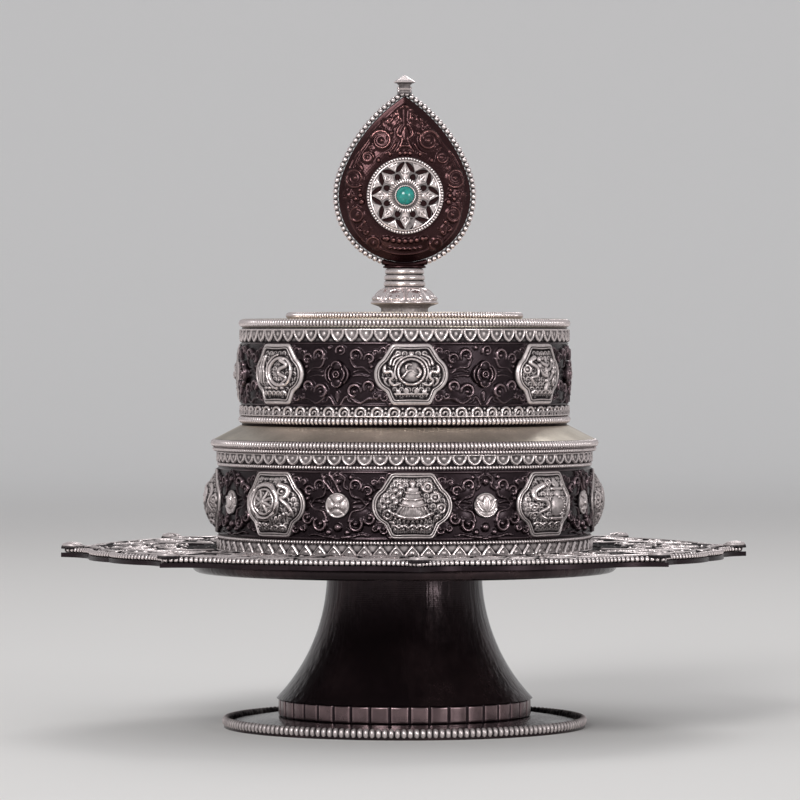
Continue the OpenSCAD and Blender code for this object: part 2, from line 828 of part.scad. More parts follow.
// Domed shell with a flat seat for the wheel, rising along +Z from its rim
module leaf_shell() {
    edge = leaf_wire_w + solder_gap;
    outer = [for (i = [0 : shell_rings]) shell_ring(i / shell_rings, edge, wheel_seat_r, 0.4, leaf_dome_h)];
    inner = [for (i = [0 : shell_rings])
        shell_ring(i / shell_rings, edge + leaf_shell_t, wheel_seat_r - leaf_shell_t, 0, leaf_dome_h - leaf_shell_t)];
    rim = [for (p = leaf_points(edge)) [p[0], p[1], 0]];
    rows = concat([[[0, 0, leaf_dome_h]]], [for (i = [shell_rings : -1 : 0]) outer[i]], [rim], inner);
    count = len(rows) - 1;
    last = 1 + count * leaf_steps;
    points = concat(rows[0], [for (i = [1 : count]) for (p = rows[i]) p], [[0, 0, leaf_dome_h - leaf_shell_t]]);
    faces = concat(
        [for (j = [0 : leaf_steps - 1]) [0, 1 + (j + 1) % leaf_steps, 1 + j]],
        [for (i = [0 : count - 2]) for (j = [0 : leaf_steps - 1]) let (a = 1 + i * leaf_steps, n = (j + 1) % leaf_steps)
            [a + j, a + n, a + leaf_steps + n]],
        [for (i = [0 : count - 2]) for (j = [0 : leaf_steps - 1]) let (a = 1 + i * leaf_steps, n = (j + 1) % leaf_steps)
            [a + j, a + leaf_steps + n, a + leaf_steps + j]],
        [for (j = [0 : leaf_steps - 1]) let (a = last - leaf_steps) [a + j, a + (j + 1) % leaf_steps, last]]);
    polyhedron(points, faces);
}

module leaf_front() {
    color("#3a2c30")
        translate([0, -shell_y, z_wheel]) rotate([90, 0, 0]) leaf_shell();
}

module leaf_back() {
    color("#3a2c30")
        rotate(180) leaf_front();
}

module leaf_wire() {
    color("#c9c2bd")
        difference() {
            translate([0, leaf_wire_t / 2, z_wheel])
                rotate([90, 0, 0])
                    linear_extrude(leaf_wire_t)
                        difference() {
                            polygon(leaf_points(0));
                            polygon(leaf_points(leaf_wire_w));
                        }
            translate([-tab_w / 2 - tab_play, -leaf_wire_t, z_leaf - 1])
                cube([tab_w + 2 * tab_play, 2 * leaf_wire_t, leaf_wire_w + 2]);
        }
}

// Lens-shaped hole of length l and width w
module lens(l, w) {
    r = (l * l / 4 + w * w / 4) / w;
    intersection() {
        translate([0, w / 2 - r]) circle(r);
        translate([0, r - w / 2]) circle(r);
    }
}

module wheel() {
    rotate([90, 0, 0])
        linear_extrude(wheel_t)
            difference() {
                circle(wheel_r);
                circle(stone_r);
                for (k = [0 : 7])
                    rotate(90 + k * 45) {
                        for (side = [-1, 1])
                            translate([wheel_r * 0.73, side * wheel_r * 0.155])
                                rotate(-side * 29) lens(wheel_r * 0.32, wheel_r * 0.1);
                        rotate(22.5) translate([wheel_r * 0.54, 0]) lens(wheel_r * 0.22, wheel_r * 0.12);
                    }
            }
}

module wheel_front() {
    color("#b9b1ac")
        translate([0, -wheel_y, z_wheel]) wheel();
}

module wheel_back() {
    color("#b9b1ac")
        rotate(180) wheel_front();
}

module bezels() {
    color("#c9c2bd")
        for (turn = [0, 180])
            rotate(turn)
                translate([0, -stone_y, z_wheel])
                    rotate([90, 0, 0])
                        difference() {
                            cylinder(r = bezel_r, h = bezel_h);
                            translate([0, 0, -1]) cylinder(r = stone_r + solder_gap, h = bezel_h + 2);
                        }
}

module turquoises() {
    color("#2aa08f")
        for (turn = [0, 180])
            rotate(turn)
                translate([0, -stone_y, z_wheel])
                    rotate([90, 0, 0])
                        union() {
                            cylinder(r = stone_r, h = stone_girdle_h);
                            intersection() {
                                translate([0, 0, stone_girdle_h + stone_h - stone_ball_r]) sphere(stone_ball_r);
                                translate([0, 0, stone_girdle_h]) cylinder(r = stone_r, h = stone_h + 1);
                            }
                        }
}

module apex_cap() {
    color("#d8d0c4")
        difference() {
            union() {
                translate([0, 0, z_tip - apex_grip]) cylinder(r = apex_collar_r, h = apex_grip + apex_collar_h);
                translate([0, 0, z_tip + apex_collar_h]) cylinder(r1 = apex_r, r2 = 0.2, h = apex_h, $fn = 4);
            }
            translate([0, leaf_wire_t, z_wheel])
                rotate([90, 0, 0]) linear_extrude(2 * leaf_wire_t) polygon(leaf_points(-solder_gap));
        }
}

foot_disc();
foot_rim_wire();
panel_collar();
stem();
stem_plug();
pan();
pan_rivet();
rivet_burr();
petal_plate();
petal_overlay();
petal_edge_wire();
petal_tips();
plate_register();
lower_wall();
lower_base_strip();
lower_fine_wires();
lower_top_strip();
lower_cornice();
lower_rim_wire();
lower_shoulder();
lower_rosettes();
medallion_parasol();
medallion_vase();
medallion_lotus();
medallion_knot();
medallion_fish();
medallion_banner();
medallion_conch();
medallion_wheel();
upper_wall();
upper_base_wire();
upper_base_strip();
upper_top_strip();
upper_deck();
upper_rim_wire();
upper_flowers();
emblem_jewel();
emblem_coral();
emblem_tusks();
emblem_horn();
emblem_earrings();
emblem_gems();
emblem_disc();
top_disc();
top_wire();
finial_socket();
finial_peg();
lotus_base();
neck_rings();
leaf_plate();
leaf_front();
leaf_back();
leaf_wire();
wheel_front();
wheel_back();
bezels();
turquoises();
apex_cap();
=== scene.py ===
"""Looks of a stacked mandala offering plate: chased silver, dark copper and turquoise."""

import math

import bpy
import numpy as np
from bpy.props import FloatProperty, FloatVectorProperty, IntProperty, PointerProperty
from bpy.types import Operator, Panel, PropertyGroup
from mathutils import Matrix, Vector


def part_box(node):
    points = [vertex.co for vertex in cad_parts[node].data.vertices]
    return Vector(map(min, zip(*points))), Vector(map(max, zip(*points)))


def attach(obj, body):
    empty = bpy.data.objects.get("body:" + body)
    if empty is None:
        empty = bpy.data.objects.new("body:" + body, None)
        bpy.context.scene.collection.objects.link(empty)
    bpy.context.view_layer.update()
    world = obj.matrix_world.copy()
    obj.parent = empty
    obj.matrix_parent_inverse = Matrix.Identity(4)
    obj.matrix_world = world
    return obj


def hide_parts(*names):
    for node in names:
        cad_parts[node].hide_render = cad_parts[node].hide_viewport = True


bl_info = {
    "name": "Mandala offering plate",
    "version": (1, 0, 0),
    "blender": (4, 5, 0),
    "location": "3D View > Sidebar > Mandala",
    "description": "Dresses the frame of an offering plate in chased silver, dark copper and turquoise",
    "category": "Object",
}

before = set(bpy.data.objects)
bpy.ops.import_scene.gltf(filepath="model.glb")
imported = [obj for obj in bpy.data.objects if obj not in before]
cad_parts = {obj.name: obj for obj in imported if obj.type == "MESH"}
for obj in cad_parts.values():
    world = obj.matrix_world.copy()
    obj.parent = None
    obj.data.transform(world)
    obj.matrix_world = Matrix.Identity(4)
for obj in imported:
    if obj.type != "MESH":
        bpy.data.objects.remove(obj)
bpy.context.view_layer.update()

# Millimetres are the working unit; the frame is in metres
MM = 0.001
TAU = math.tau
FRONT = -math.pi / 2
PETALS = 8

# Rightward angle in a pattern and in its mirror image
RIGHTWARD = (0, 180)

# Gap between a wall and the back of a skin raised on it, and the near-black tone of the core wires between
# the beads, painted shade with oxide
OFF_WALL = 0.02
CORE_SHADE = 0.05

# Widths of the beaded wires along the tray and the leaf
TRAY_WIRE = 2.2
LEAF_WIRE = 2.4

# Height of the leaf's rim over its middle plane, and radius of the finial's bore
LEAF_RIM = 1.4
FINIAL_BORE = 5.1

# Look of the pieces: a slot name and the finish they get
SILVER = ("antique_silver", "chased silver")
DRUM = ("dark_copper", "drum copper")
LEAF = ("dark_copper", "leaf copper")
COLLAR = ("dark_copper", "collar copper")


def extent(node):
    """Outer radius, lowest level and highest level of a CAD node, in millimetres."""
    low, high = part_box(node)
    return max(high.x, high.y, -low.x, -low.y) / MM, low.z / MM, high.z / MM


# Chased ornament


def flow(*points):
    """Smooth path through the points given."""
    p = np.array([points[0], *points, points[-1]], float)
    t = np.linspace(0, 1, 7)[:-1, None]
    spans = []
    for a, b, c, d in zip(p, p[1:], p[2:], p[3:]):
        bend = (2 * a - 5 * b + 4 * c - d) * t**2 + (3 * b - a - 3 * c + d) * t**3
        spans.append(b + 0.5 * ((c - a) * t + bend))
    return np.vstack([*spans, p[-1:]])


def around(count):
    """Evenly spaced angles of a whole turn."""
    return np.arange(count) / count * TAU


def polar(reach, turns):
    """Flat points at a reach and an angle from the middle."""
    return np.column_stack([reach * np.cos(turns), reach * np.sin(turns)])


class Relief:
    """Chased ornament: heights in millimetres over points x, y of a flat pattern; angles in degrees."""

    def __init__(self, x, y, height=None):
        self.x, self.y = np.broadcast_arrays(np.asarray(x, float), np.asarray(y, float))
        self.height = np.zeros(self.x.shape) if height is None else height

    def sides(self):
        """The pattern and its mirror image about x = 0, which work on the same heights."""
        return self, Relief(-self.x, self.y, self.height)

    def near(self, x, y, reach_x, reach_y):
        """Mask of the points in a box about (x, y)."""
        return (np.abs(self.x - x) < reach_x) & (np.abs(self.y - y) < reach_y)

    def turned(self, mask, x, y, angle):
        """Distances of the masked points from (x, y), along an angle and across it."""
        c, s = math.cos(math.radians(angle)), math.sin(math.radians(angle))
        dx, dy = self.x[mask] - x, self.y[mask] - y
        return dx * c + dy * s, dy * c - dx * s

    def lift(self, mask, height):
        """Raises the masked points that are lower than height."""
        self.height[mask] = np.maximum(self.height[mask], height)

    def spread(self, height):
        """Raises all points that are lower than height."""
        np.maximum(self.height, height, out=self.height)

    def oval(self, x, y, half_x, half_y, high, turn=0):
        """Domed oval."""
        reach = max(half_x, half_y)
        mask = self.near(x, y, reach, reach)
        along, across = self.turned(mask, x, y, turn)
        share = (along / half_x) ** 2 + (across / half_y) ** 2
        self.lift(mask, high * np.sqrt(np.clip(1 - share, 0, None)))

    def ball(self, x, y, r, high):
        """Round bead."""
        self.oval(x, y, r, r, high)

    def line(self, path, half, high, end=None):
        """Ridge along a path, whose half-width runs from half to end."""
        path = np.asarray(path, float)
        end = half if end is None else end
        widest = max(half, end)
        middle = (path.min(0) + path.max(0)) / 2
        reach = (path.max(0) - path.min(0)) / 2 + widest
        mask = self.near(*middle, *reach)
        px, py = self.x[mask], self.y[mask]
        best = np.zeros(px.shape)
        steps = len(path) - 1
        for i in range(steps):
            (ax, ay), (bx, by) = path[i], path[i + 1]
            dx, dy = bx - ax, by - ay
            t = np.clip(((px - ax) * dx + (py - ay) * dy) / (dx * dx + dy * dy + 1e-12), 0, 1)
            width = half + (end - half) * (i + t) / steps
            gap = np.hypot(px - ax - t * dx, py - ay - t * dy) / width
            best = np.maximum(best, width / widest * np.sqrt(np.clip(1 - gap * gap, 0, None)))
        self.lift(mask, high * best)

    def level(self, y, reach, half, high, end=None):
        """Ridge straight across the pattern, as far as reach on both sides."""
        self.line([(-reach, y), (reach, y)], half, high, end)

    def stroke(self, points, half, high, end=None):
        """Ridge along a smooth path through the points."""
        self.line(flow(*points), half, high, end)

    def arc(self, x, y, r, start, stop, half, high):
        """Ridge along part of a circle."""
        start, stop = math.radians(start), math.radians(stop)
        t = np.linspace(start, stop, max(6, int(abs(stop - start) * 5)))
        self.line(polar(r, t) + (x, y), half, high)

    def ring(self, x, y, r, half, high):
        """Ridge round a whole circle."""
        mask = self.near(x, y, r + half, r + half)
        gap = (np.hypot(self.x[mask] - x, self.y[mask] - y) - r) / half
        self.lift(mask, high * np.sqrt(np.clip(1 - gap * gap, 0, None)))

    def scroll(self, x, y, r, turns, start, half, high, hand=1):
        """Volute: a band that winds inwards from radius r round a bead at (x, y)."""
        t = np.linspace(0, 1, int(14 * turns) + 3)
        path = polar(r * (1 - 0.36 * turns * t), math.radians(start) + hand * TAU * turns * t)
        self.line(path + (x, y), half, high, half * 0.7)
        self.ball(x, y, r * 0.42 / max(turns, 1), high * 1.05)

    def petal(self, x, y, long, width, angle, high):
        """Leaf from (x, y) along angle, with rolled edges and a fine midrib."""
        mask = self.near(x, y, long + width, long + width)
        along, across = self.turned(mask, x, y, angle)
        along, across = along / long, np.abs(across) / (width / 2)
        room = np.sin(np.pi * np.clip(along, 0.001, 0.999) ** 0.8) ** 0.75
        share = across / np.maximum(room, 0.05)
        body = np.sqrt(np.clip(1 - share**6, 0, None)) * (0.55 + 0.45 * share**2)
        rib = 0.3 * np.exp(-((share / 0.2) ** 2))
        self.lift(mask, high * np.where((along > 0) & (along < 1) & (share < 1), body + rib, 0))

    def cloud(self, x, y, size, angle, high, hand=1):
        """Cloud head: a low swelling whose rolled rim ends in two curls about beads, with a thin tail."""
        c, s = size * math.cos(math.radians(angle)), size * math.sin(math.radians(angle))

        def at(u, v):
            return x + hand * u * c - v * s, y + hand * u * s + v * c

        self.oval(*at(0, -0.35), size, 0.75 * size, 0.6 * high, angle)
        for middle, r, start, stop in ((-0.62, 0.56, -20, 250), (0.62, 0.44, 200, -75)):
            turns = np.radians(np.linspace(start, stop, 16))
            reach = np.linspace(r, r * 0.72, 16)
            curl = [at(middle + k * math.cos(a), 0.08 + k * math.sin(a)) for k, a in zip(reach, turns)]
            self.line(curl, 0.14 * size, high)
            self.ball(*at(middle, 0.04), 0.2 * size, high)
        tail = at(-1.05, -0.35), at(-0.5, -0.95), at(0.35, -0.85), at(1, -1.15)
        self.stroke(tail, 0.11 * size, 0.85 * high, 0.07 * size)

    def bell(self, top, hem, narrow, wide, sag, high):
        """Bell-shaped canopy about x = 0, from a narrow top to a wide sagging hem."""
        drop = np.clip((top - self.y) / (top - hem), 0, 1)
        share = np.abs(self.x) / (narrow + (wide - narrow) * drop**1.5)
        inside = (self.y < top) & (self.y > hem - sag * (1 - share**2)) & (share < 1)
        self.spread(np.where(inside, high * np.clip(1 - share**2, 0, None) ** 0.35, 0))

    def stipple(self, pitch, high):
        """Ground worked with a round punch."""
        wave = np.sin(TAU * self.x / pitch) * np.sin(TAU * self.y / pitch)
        self.spread(high * (0.5 + 0.5 * wave))


def rubbed_with_painted_light(height, ground, gain, reach):
    """Wear of a chased skin with painted light: ground on the open parts, brighter on ridges as rubbing and
    painted highlight, darker in hollows as oxide and painted shade.
    """
    level = height
    for _ in range(reach):
        beside = np.roll(level, 1, 0) + np.roll(level, -1, 0) + np.roll(level, 1, 1) + np.roll(level, -1, 1)
        level = (2 * level + beside) / 6
    return np.clip(ground + gain * (height - level), 0, 1)


def lappet(chase, pitch, tall, full, soft, upward):
    """One tongue of a lappet strip: a rolled edge round a swelling."""
    edge, start, samples = 0.46, 0.5, 17
    drop = np.linspace(0, 1, samples)
    half = pitch / 2 * np.clip(1 - drop**full, 0, None) ** soft
    level = start + (tall - start - edge) * drop
    here, middle, root = chase.y, tall * 0.34, 0.3
    if not upward:
        level, here, middle, root = tall - level, tall - here, tall * 0.62, tall - root
    share = np.abs(chase.x) / np.maximum(np.interp(here, np.linspace(0, tall, samples), half), 0.05)
    chase.spread(np.where(share < 1, 0.5, 0))
    chase.oval(0, middle, pitch * 0.17, tall * 0.22, 0.85)
    for side in chase.sides():
        side.line(np.column_stack([np.maximum(half - edge, 0), level]), edge, 1)
    chase.level(root, pitch, 0.36, 0.95)


def arch(chase, pitch, tall):
    """One upright arch of the upper tier's base strip, with a curled heart and a wave to the next arch."""
    r = pitch * 0.31
    spring = tall - r - 0.5
    chase.arc(0, spring, r, -40, 220, 0.52, 1)
    chase.arc(0.2, spring - 0.2, r * 0.42, -60, 190, 0.36, 0.85)
    for side in chase.sides():
        side.stroke([(r * 0.8, 0.7), (r + 0.6, 0.9), (pitch / 2, 1.9), (pitch / 2 + 0.8, 1.5)], 0.42, 0.85)
        side.ball(pitch / 2, tall - 0.9, 0.5, 0.7)
    chase.level(0.35, pitch, 0.36, 0.95)


def cloud_ground(chase, half_x, half_y, pitch):
    """Ground of small curls in staggered rows."""
    row = pitch * 0.8
    rows, cols = int(half_y / pitch / 0.8), int(half_x / pitch) + 1
    for j in range(-rows, rows + 1):
        for i in range(-cols, cols + 1):
            x, y = (i + 0.5 * (j % 2)) * pitch, j * row
            chase.arc(x, y, pitch * 0.34, -35, 215, 0.3, 0.46)
            chase.ball(x, y - 0.1, 0.36, 0.4)


def waves(chase, level, count, step):
    """Row of wave scallops with a bead in each."""
    for i in range(count):
        x = (i - (count - 1) / 2) * step
        chase.arc(x, level, step * 0.46, 0, 180, 0.4, 0.95)
        chase.ball(x, level + 0.1, step * 0.17, 0.75)


def side_curls(chase, far, up):
    """Clouds of curls at both sides of a medallion."""
    for side in chase.sides():
        side.scroll(far, up, 2.3, 1.15, 90, 0.48, 0.95)
        side.scroll(far + 0.5, -up * 0.75, 2, 1.05, -90, 0.46, 0.9, -1)
        side.ball(far - 2.9, up + 2.9, 0.75, 0.85)
        side.ball(far - 2.7, -up - 2.2, 0.7, 0.8)


def sagging(half, level, drop):
    """Line across a form that sags in the middle."""
    x = np.linspace(-half, half, 9)
    return np.column_stack([x, level - drop * (1 - (x / half) ** 2)])


def parasol(chase):
    """Parasol: a bell-shaped banded canopy with a thick hem, over waves."""
    chase.line([(0, 6), (0, 9)], 0.8, 1)
    chase.ball(0, 8.9, 1.15, 1.3)
    chase.bell(7, -3.2, 2.1, 7.2, 1.6, 1.45)
    for half, level, drop, wide in ((2.5, 5.3, 0.3, 0.42), (3.3, 3, 0.5, 0.46), (4.6, 0.6, 0.8, 0.5)):
        chase.line(sagging(half, level, drop), wide, 1.9)
    chase.line(sagging(7, -3, 1.7), 0.85, 1.95)
    for i in range(-4, 5):
        chase.line([(i * 0.95, 0.2), (i * 1.45, -2.9 - 0.05 * (16 - i * i))], 0.3, 1.62)
        chase.ball(i * 1.6, -5.9 + 0.07 * i * i, 0.55, 1.1)
    waves(chase, -9.2, 5, 3.3)
    chase.scroll(5.6, 7.4, 2, 1.1, 180, 0.55, 1.15)
    chase.scroll(8.3, 3.4, 1.9, 1.1, 90, 0.52, 1.1, -1)
    chase.scroll(10.6, -0.8, 1.8, 1, -90, 0.5, 1.05)
    chase.scroll(9.2, -5, 1.5, 1, -90, 0.46, 1)
    chase.ring(-9.2, -3.4, 1.6, 0.55, 1.15)
    chase.ball(-9.2, -3.4, 0.75, 1.05)
    for x, y in ((-4.4, 7.4), (-6.6, 6), (-4.8, 4.8), (-7.2, 3.4), (-9.4, 1.6), (-6.2, 1.4), (-10.9, -0.6)):
        chase.oval(x, y, 1.25, 0.9, 1.05, 40.107)
    chase.stroke([(-8.6, -6.2), (-7, -6.6), (-7.6, -7.8)], 0.5, 1, 0.35)


def vase(chase):
    """Vase with a string of beads, a jewel and a wide fluttering scarf."""
    chase.oval(2.4, -0.6, 4.4, 4.6, 1.3)
    chase.oval(2.2, 4.2, 2, 2.3, 1.1)
    chase.line([(-0.4, 6), (5, 6)], 0.65, 1.25)
    chase.line([(-0.6, -5.6), (5.2, -5.6)], 0.75, 1.25)
    chase.petal(2.2, 6.3, 3.8, 3, 90, 1.2)
    for k in range(9):
        a = math.radians(-75 + 21 * k)
        chase.ball(2.2 + 3.1 * math.cos(a), -0.6 + 3.4 * math.sin(a), 0.55, 1.7)
    scarf = (-4.6, 7.6), (-8.2, 5.4), (-8.4, 2.4), (-4.4, 1.6), (-3.2, -1.2), (-6.6, -3.4), (-3.6, -5.8)
    chase.stroke(scarf, 1.15, 1.5, 0.7)
    chase.stroke([(8.6, 5.8), (9.8, 2.6), (8, -0.4), (9.6, -3.6)], 0.9, 1.25, 0.5)
    waves(chase, -8.6, 5, 3.3)
    for x, y in ((-9.2, -1.2), (-8.4, -4.4), (7.4, 7.4), (-1.4, 8.4), (7.2, -5.4), (10.8, 0.8)):
        chase.scroll(x, y, 1.5, 1, 0, 0.46, 1)


def lotus(chase):
    """Open lotus on a stalk with two leaves."""
    chase.stroke([(0, -9), (0.7, -6), (0, -3.4)], 0.7, 0.9)
    for lean in (-78, 78, -52, 52, -26, 26, 0):
        chase.petal(0, -3.6, 10.4 - abs(lean) * 0.02, 4.6, 90 - lean, 1.35 - abs(lean) * 0.004)
    chase.oval(0, -3.2, 3, 1.6, 1.2)
    for side in chase.sides():
        side.petal(0, -7.6, 7.6, 3.6, 18, 0.95)
    waves(chase, -9.4, 3, 2.6)
    side_curls(chase, 10.6, 1.2)


def knot(chase):
    """Endless knot of a woven band."""
    slope = math.sqrt(0.5)
    reach = 5.4 * slope
    for side in chase.sides():
        for k in (-1, 0, 1):
            cx, cy = -slope * 2.7 * k, slope * 2.7 * k
            side.line([(cx - reach, cy - reach), (cx + reach, cy + reach)], 0.72, 1.2)
    for x, y in polar(6.4, around(4)):
        chase.ring(x, y, 1.6, 0.62, 1.15)
    for x, y in polar(4.4 / slope, around(4) + TAU / 8):
        chase.ring(x, y, 1.2, 0.55, 1.05)
    side_curls(chase, 10.4, 3.2)
    waves(chase, -9.4, 3, 3)


def fish(chase):
    """Pair of fish that face each other over waves."""
    for side in chase.sides():
        side.stroke([(7.4, -5.6), (6.9, -1.8), (4.8, 2.2), (2, 5.4)], 0.7, 1.35, 2)
        side.ball(2, 5.4, 2.1, 1.4)
        side.ball(1.7, 6, 0.5, 1.8)
        for lean in (-38, 0, 38):
            side.petal(7.4, -5, 4, 1.9, lean - 76, 1)
        side.petal(6, 1.2, 4, 2.2, 30, 0.95)
        side.scroll(10.6, 4, 1.9, 1, 90, 0.42, 0.85)
    waves(chase, -9.2, 5, 2.9)
    chase.petal(0, -5.4, 6.2, 3.2, 90, 0.95)


def banner(chase):
    """Banner: a tiered cylinder of cloth under a small canopy."""
    chase.petal(0, 5.4, 3.8, 2.6, 90, 1.1)
    chase.arc(0, 1.4, 5, 35, 145, 0.8, 1.3)
    for level in (3.4, 0.7, -2, -4.7):
        chase.line(sagging(4.2, level, 0.5), 1.05, 1.1)
        chase.line(sagging(4.6, level - 1.3, 0.5), 0.4, 1.5)
        for i in range(-3, 4):
            chase.line([(i * 1.25, level + 0.6), (i * 1.25, level - 1)], 0.26, 1.35)
    for side in chase.sides():
        side.stroke([(4.6, 3.6), (7, 1.4), (5.9, -1.8), (7.9, -5.2)], 0.8, 1.1, 0.45)
        side.scroll(10.4, 2.2, 2.1, 1.1, 90, 0.45, 0.9)
        side.scroll(10.6, -2.8, 1.8, 1, -90, 0.42, 0.85, -1)
    waves(chase, -9, 5, 2.9)


def conch(chase):
    """Conch with its whorl and open lip."""
    chase.oval(1.6, -1.2, 5.2, 4, 1, -51.566)
    chase.scroll(-0.6, 2.2, 5.3, 2, -50, 0.95, 1.5)
    chase.petal(3.2, 0.4, 9.6, 5.2, -112, 1.4)
    chase.stroke([(-6.8, 5.4), (-8.6, 2.6), (-6.8, -0.8), (-8.6, -4.4)], 0.7, 1, 0.45)
    chase.stroke([(7, 6), (8.8, 2.8), (7.2, -0.6), (8.8, -4)], 0.7, 1, 0.45)
    waves(chase, -9.2, 5, 3)
    for side, right in zip(chase.sides(), RIGHTWARD):
        side.scroll(11, 0.6, 1.8, 1, right, 0.42, 0.85)


def wheel_sign(chase):
    """Wheel with eight spokes inside a heavy ring, with ribbons at its side and waves below."""
    hub = np.array([-1.4, 1])
    chase.ring(*hub, 6.7, 1, 1.5)
    chase.ring(*hub, 4.9, 0.45, 1.05)
    for turn in around(8) + TAU / 16:
        ray = np.array([math.cos(turn), math.sin(turn)])
        chase.line([hub + 1.3 * ray, hub + 4.8 * ray], 0.85, 1.25, 0.5)
    chase.ball(*hub, 1.5, 1.6)
    ribbon = (5.2, 7.6), (8.6, 6.2), (8.2, 3.4), (6.4, 2.6), (9.2, -0.2), (10.4, -3.4), (7.2, -4)
    chase.stroke(ribbon, 1.1, 1.45, 0.6)
    chase.scroll(6.6, 5.2, 1.7, 1, 0, 0.5, 1.15)
    chase.stroke([(-9.4, 5.4), (-11, 2.2), (-9.6, -1.2), (-10.6, -4)], 0.8, 1.15, 0.45)
    for i in range(6):
        chase.line([(0.9 + i * 1.45, -7.9 + i * 0.62), (1.5 + i * 1.45, -5.9 + i * 0.55)], 0.5, 1.2)
        chase.ball(-7.4 + i * 1.5, -7.4 - 0.12 * i, 0.7, 1)
    waves(chase, -9.6, 5, 3)


def jewel(chase):
    """Round jewel with a swirl, in a ring and a halo, with scarves at its sides and clouds above."""
    chase.ball(0, 1, 4.4, 1.25)
    chase.ring(0, 1, 4.9, 0.5, 1.4)
    chase.arc(0, 1, 6.2, -25, 205, 0.42, 1)
    chase.stroke([(-3.2, -1), (-1.6, 1), (0, 1.6), (1.2, 0.6), (2.6, 0.4)], 0.46, 2, 0.3)
    chase.arc(-0.8, 2.6, 1.3, 60, 250, 0.5, 1.75)
    chase.arc(1.3, 0.8, 1.9, -70, 60, 0.6, 1.85)
    scarf = (10.2, 3.4), (10, 1), (7.6, 1.1), (6.8, -0.9), (8.1, -2.5), (6.6, -4.2), (4, -3.4)
    for side in chase.sides():
        side.stroke(scarf, 0.82, 1.4, 0.4)
        side.stroke([(8, 4), (7.2, 6.4), (4.4, 7.8)], 0.6, 1.2, 0.35)
        side.stroke([(6.8, 3.6), (6, 5.6), (3.4, 7)], 0.5, 1.1, 0.3)
        side.stroke([(9.6, -1.6), (10, -3.2), (8.6, -4.6)], 0.5, 1, 0.3)
        side.petal(1.5, -7.4, 2.4, 1.8, 70, 1.1)
        side.petal(4.2, -7.4, 2.2, 1.7, 45, 1)
        side.ball(8.6, 4.9, 0.7, 0.9)
    chase.ball(0, 7.9, 0.85, 1.05)
    chase.level(-7.6, 6.4, 0.42, 0.9, 0.3)


def coral(chase):
    """Branch of coral between a ribbon and round clouds."""
    chase.stroke([(1, -5.8), (1.6, -2.4), (0.8, 2), (1.4, 6.4)], 1.2, 1.4, 0.6)
    for hand, level, rise in ((1, -2.6, 3.4), (-1, -0.8, 4), (1, 1.4, 3.8), (-1, 3.4, 2.4)):
        tip = (1 + hand * 4.4, level + rise)
        chase.stroke([(1, level), (1 + hand * 2.8, level + 1), tip], 0.9, 1.25, 0.55)
        chase.ball(*tip, 1.15, 1.35)
    ribbon = (-5.6, 6.4), (-7.6, 4.6), (-4.4, 2.4), (-4.6, -0.6), (-7.4, -1.6), (-4.8, -4.4)
    chase.stroke(ribbon, 1, 1.4, 0.5)
    chase.scroll(8.2, 2.6, 2.2, 1.1, 90, 0.58, 1.15)
    chase.scroll(7.8, -2.6, 2, 1.1, -90, 0.55, 1.1, -1)
    chase.scroll(-9.4, 1.8, 1.7, 1, 90, 0.5, 1, -1)
    waves(chase, -7.6, 5, 2.5)


def tusks(chase):
    """Crossed pair of tusks."""
    for side, right in zip(chase.sides(), RIGHTWARD):
        side.stroke([(-4.8, -5), (0.2, -3.4), (4.4, 0.2), (5.6, 5.6)], 1.35, 1.4, 0.4)
        side.scroll(8.2, -1.6, 1.9, 1, 90, 0.44, 0.95)
        side.scroll(2.2, 4.6, 1.7, 1, right, 0.42, 0.9)
    chase.ball(0, -3.4, 1.4, 1.6)
    waves(chase, -6.9, 5, 2.2)


def horn(chase):
    """Single horn with ringed root."""
    chase.stroke([(-4.4, -5.2), (-2.8, -1.2), (0.8, 1.6), (5.6, 5.8)], 1.9, 1.4, 0.4)
    for x, y, lean in ((-4, -3.6, 20), (-3.1, -1.8, 35), (-1.6, 0, 50)):
        dx, dy = 1.8 * math.cos(math.radians(lean)), 1.8 * math.sin(math.radians(lean))
        chase.line([(x - dx, y + dy), (x + dx, y - dy)], 0.4, 1.75)
    for x, y in ((5.6, -1.6), (-5.8, 3.6)):
        chase.scroll(x, y, 2.3, 1.2, 0, 0.46, 0.95)
    for hand in (-1, 1):
        chase.scroll(hand * 8.8, hand * 1.4, 1.5, 1, 90, 0.4, 0.85, hand)
    waves(chase, -6.9, 5, 2.2)


def earrings(chase):
    """Two linked rings, one round and one square set on its point."""
    chase.ring(-2.4, 0.6, 3.4, 0.75, 1.3)
    chase.line([(2.8, 4.8), (7, 0.6), (2.8, -3.6), (-1.4, 0.6), (2.8, 4.8)], 0.7, 1.45)
    for side in chase.sides():
        side.scroll(8.8, 3, 1.6, 1, 90, 0.42, 0.9)
        side.scroll(8, -3.4, 1.7, 1, -90, 0.42, 0.9, -1)
    chase.ball(-2.4, 0.6, 1.2, 1.1)
    chase.ball(2.8, 0.6, 1.2, 1.2)
    waves(chase, -6.9, 5, 2.2)


def gems(chase):
    """Three flaming gems on a lotus."""
    for x, y, r in ((-2.7, -0.8, 2.3), (2.7, -0.8, 2.3), (0, 2.8, 2.5)):
        chase.ball(x, y, r, 1.35)
        chase.ring(x, y, r * 0.55, 0.3, 1.55)
    for lean in (-60, -30, 0, 30, 60):
        chase.petal(0, 1, 7, 2.2, 90 - lean, 0.85)
        chase.petal(0, -3, 5.4, 2.6, -90 + lean * 1.2, 0.9)
    for side in chase.sides():
        side.scroll(8, 0.6, 2.1, 1.1, 90, 0.45, 0.95)
    waves(chase, -7, 5, 2.2)


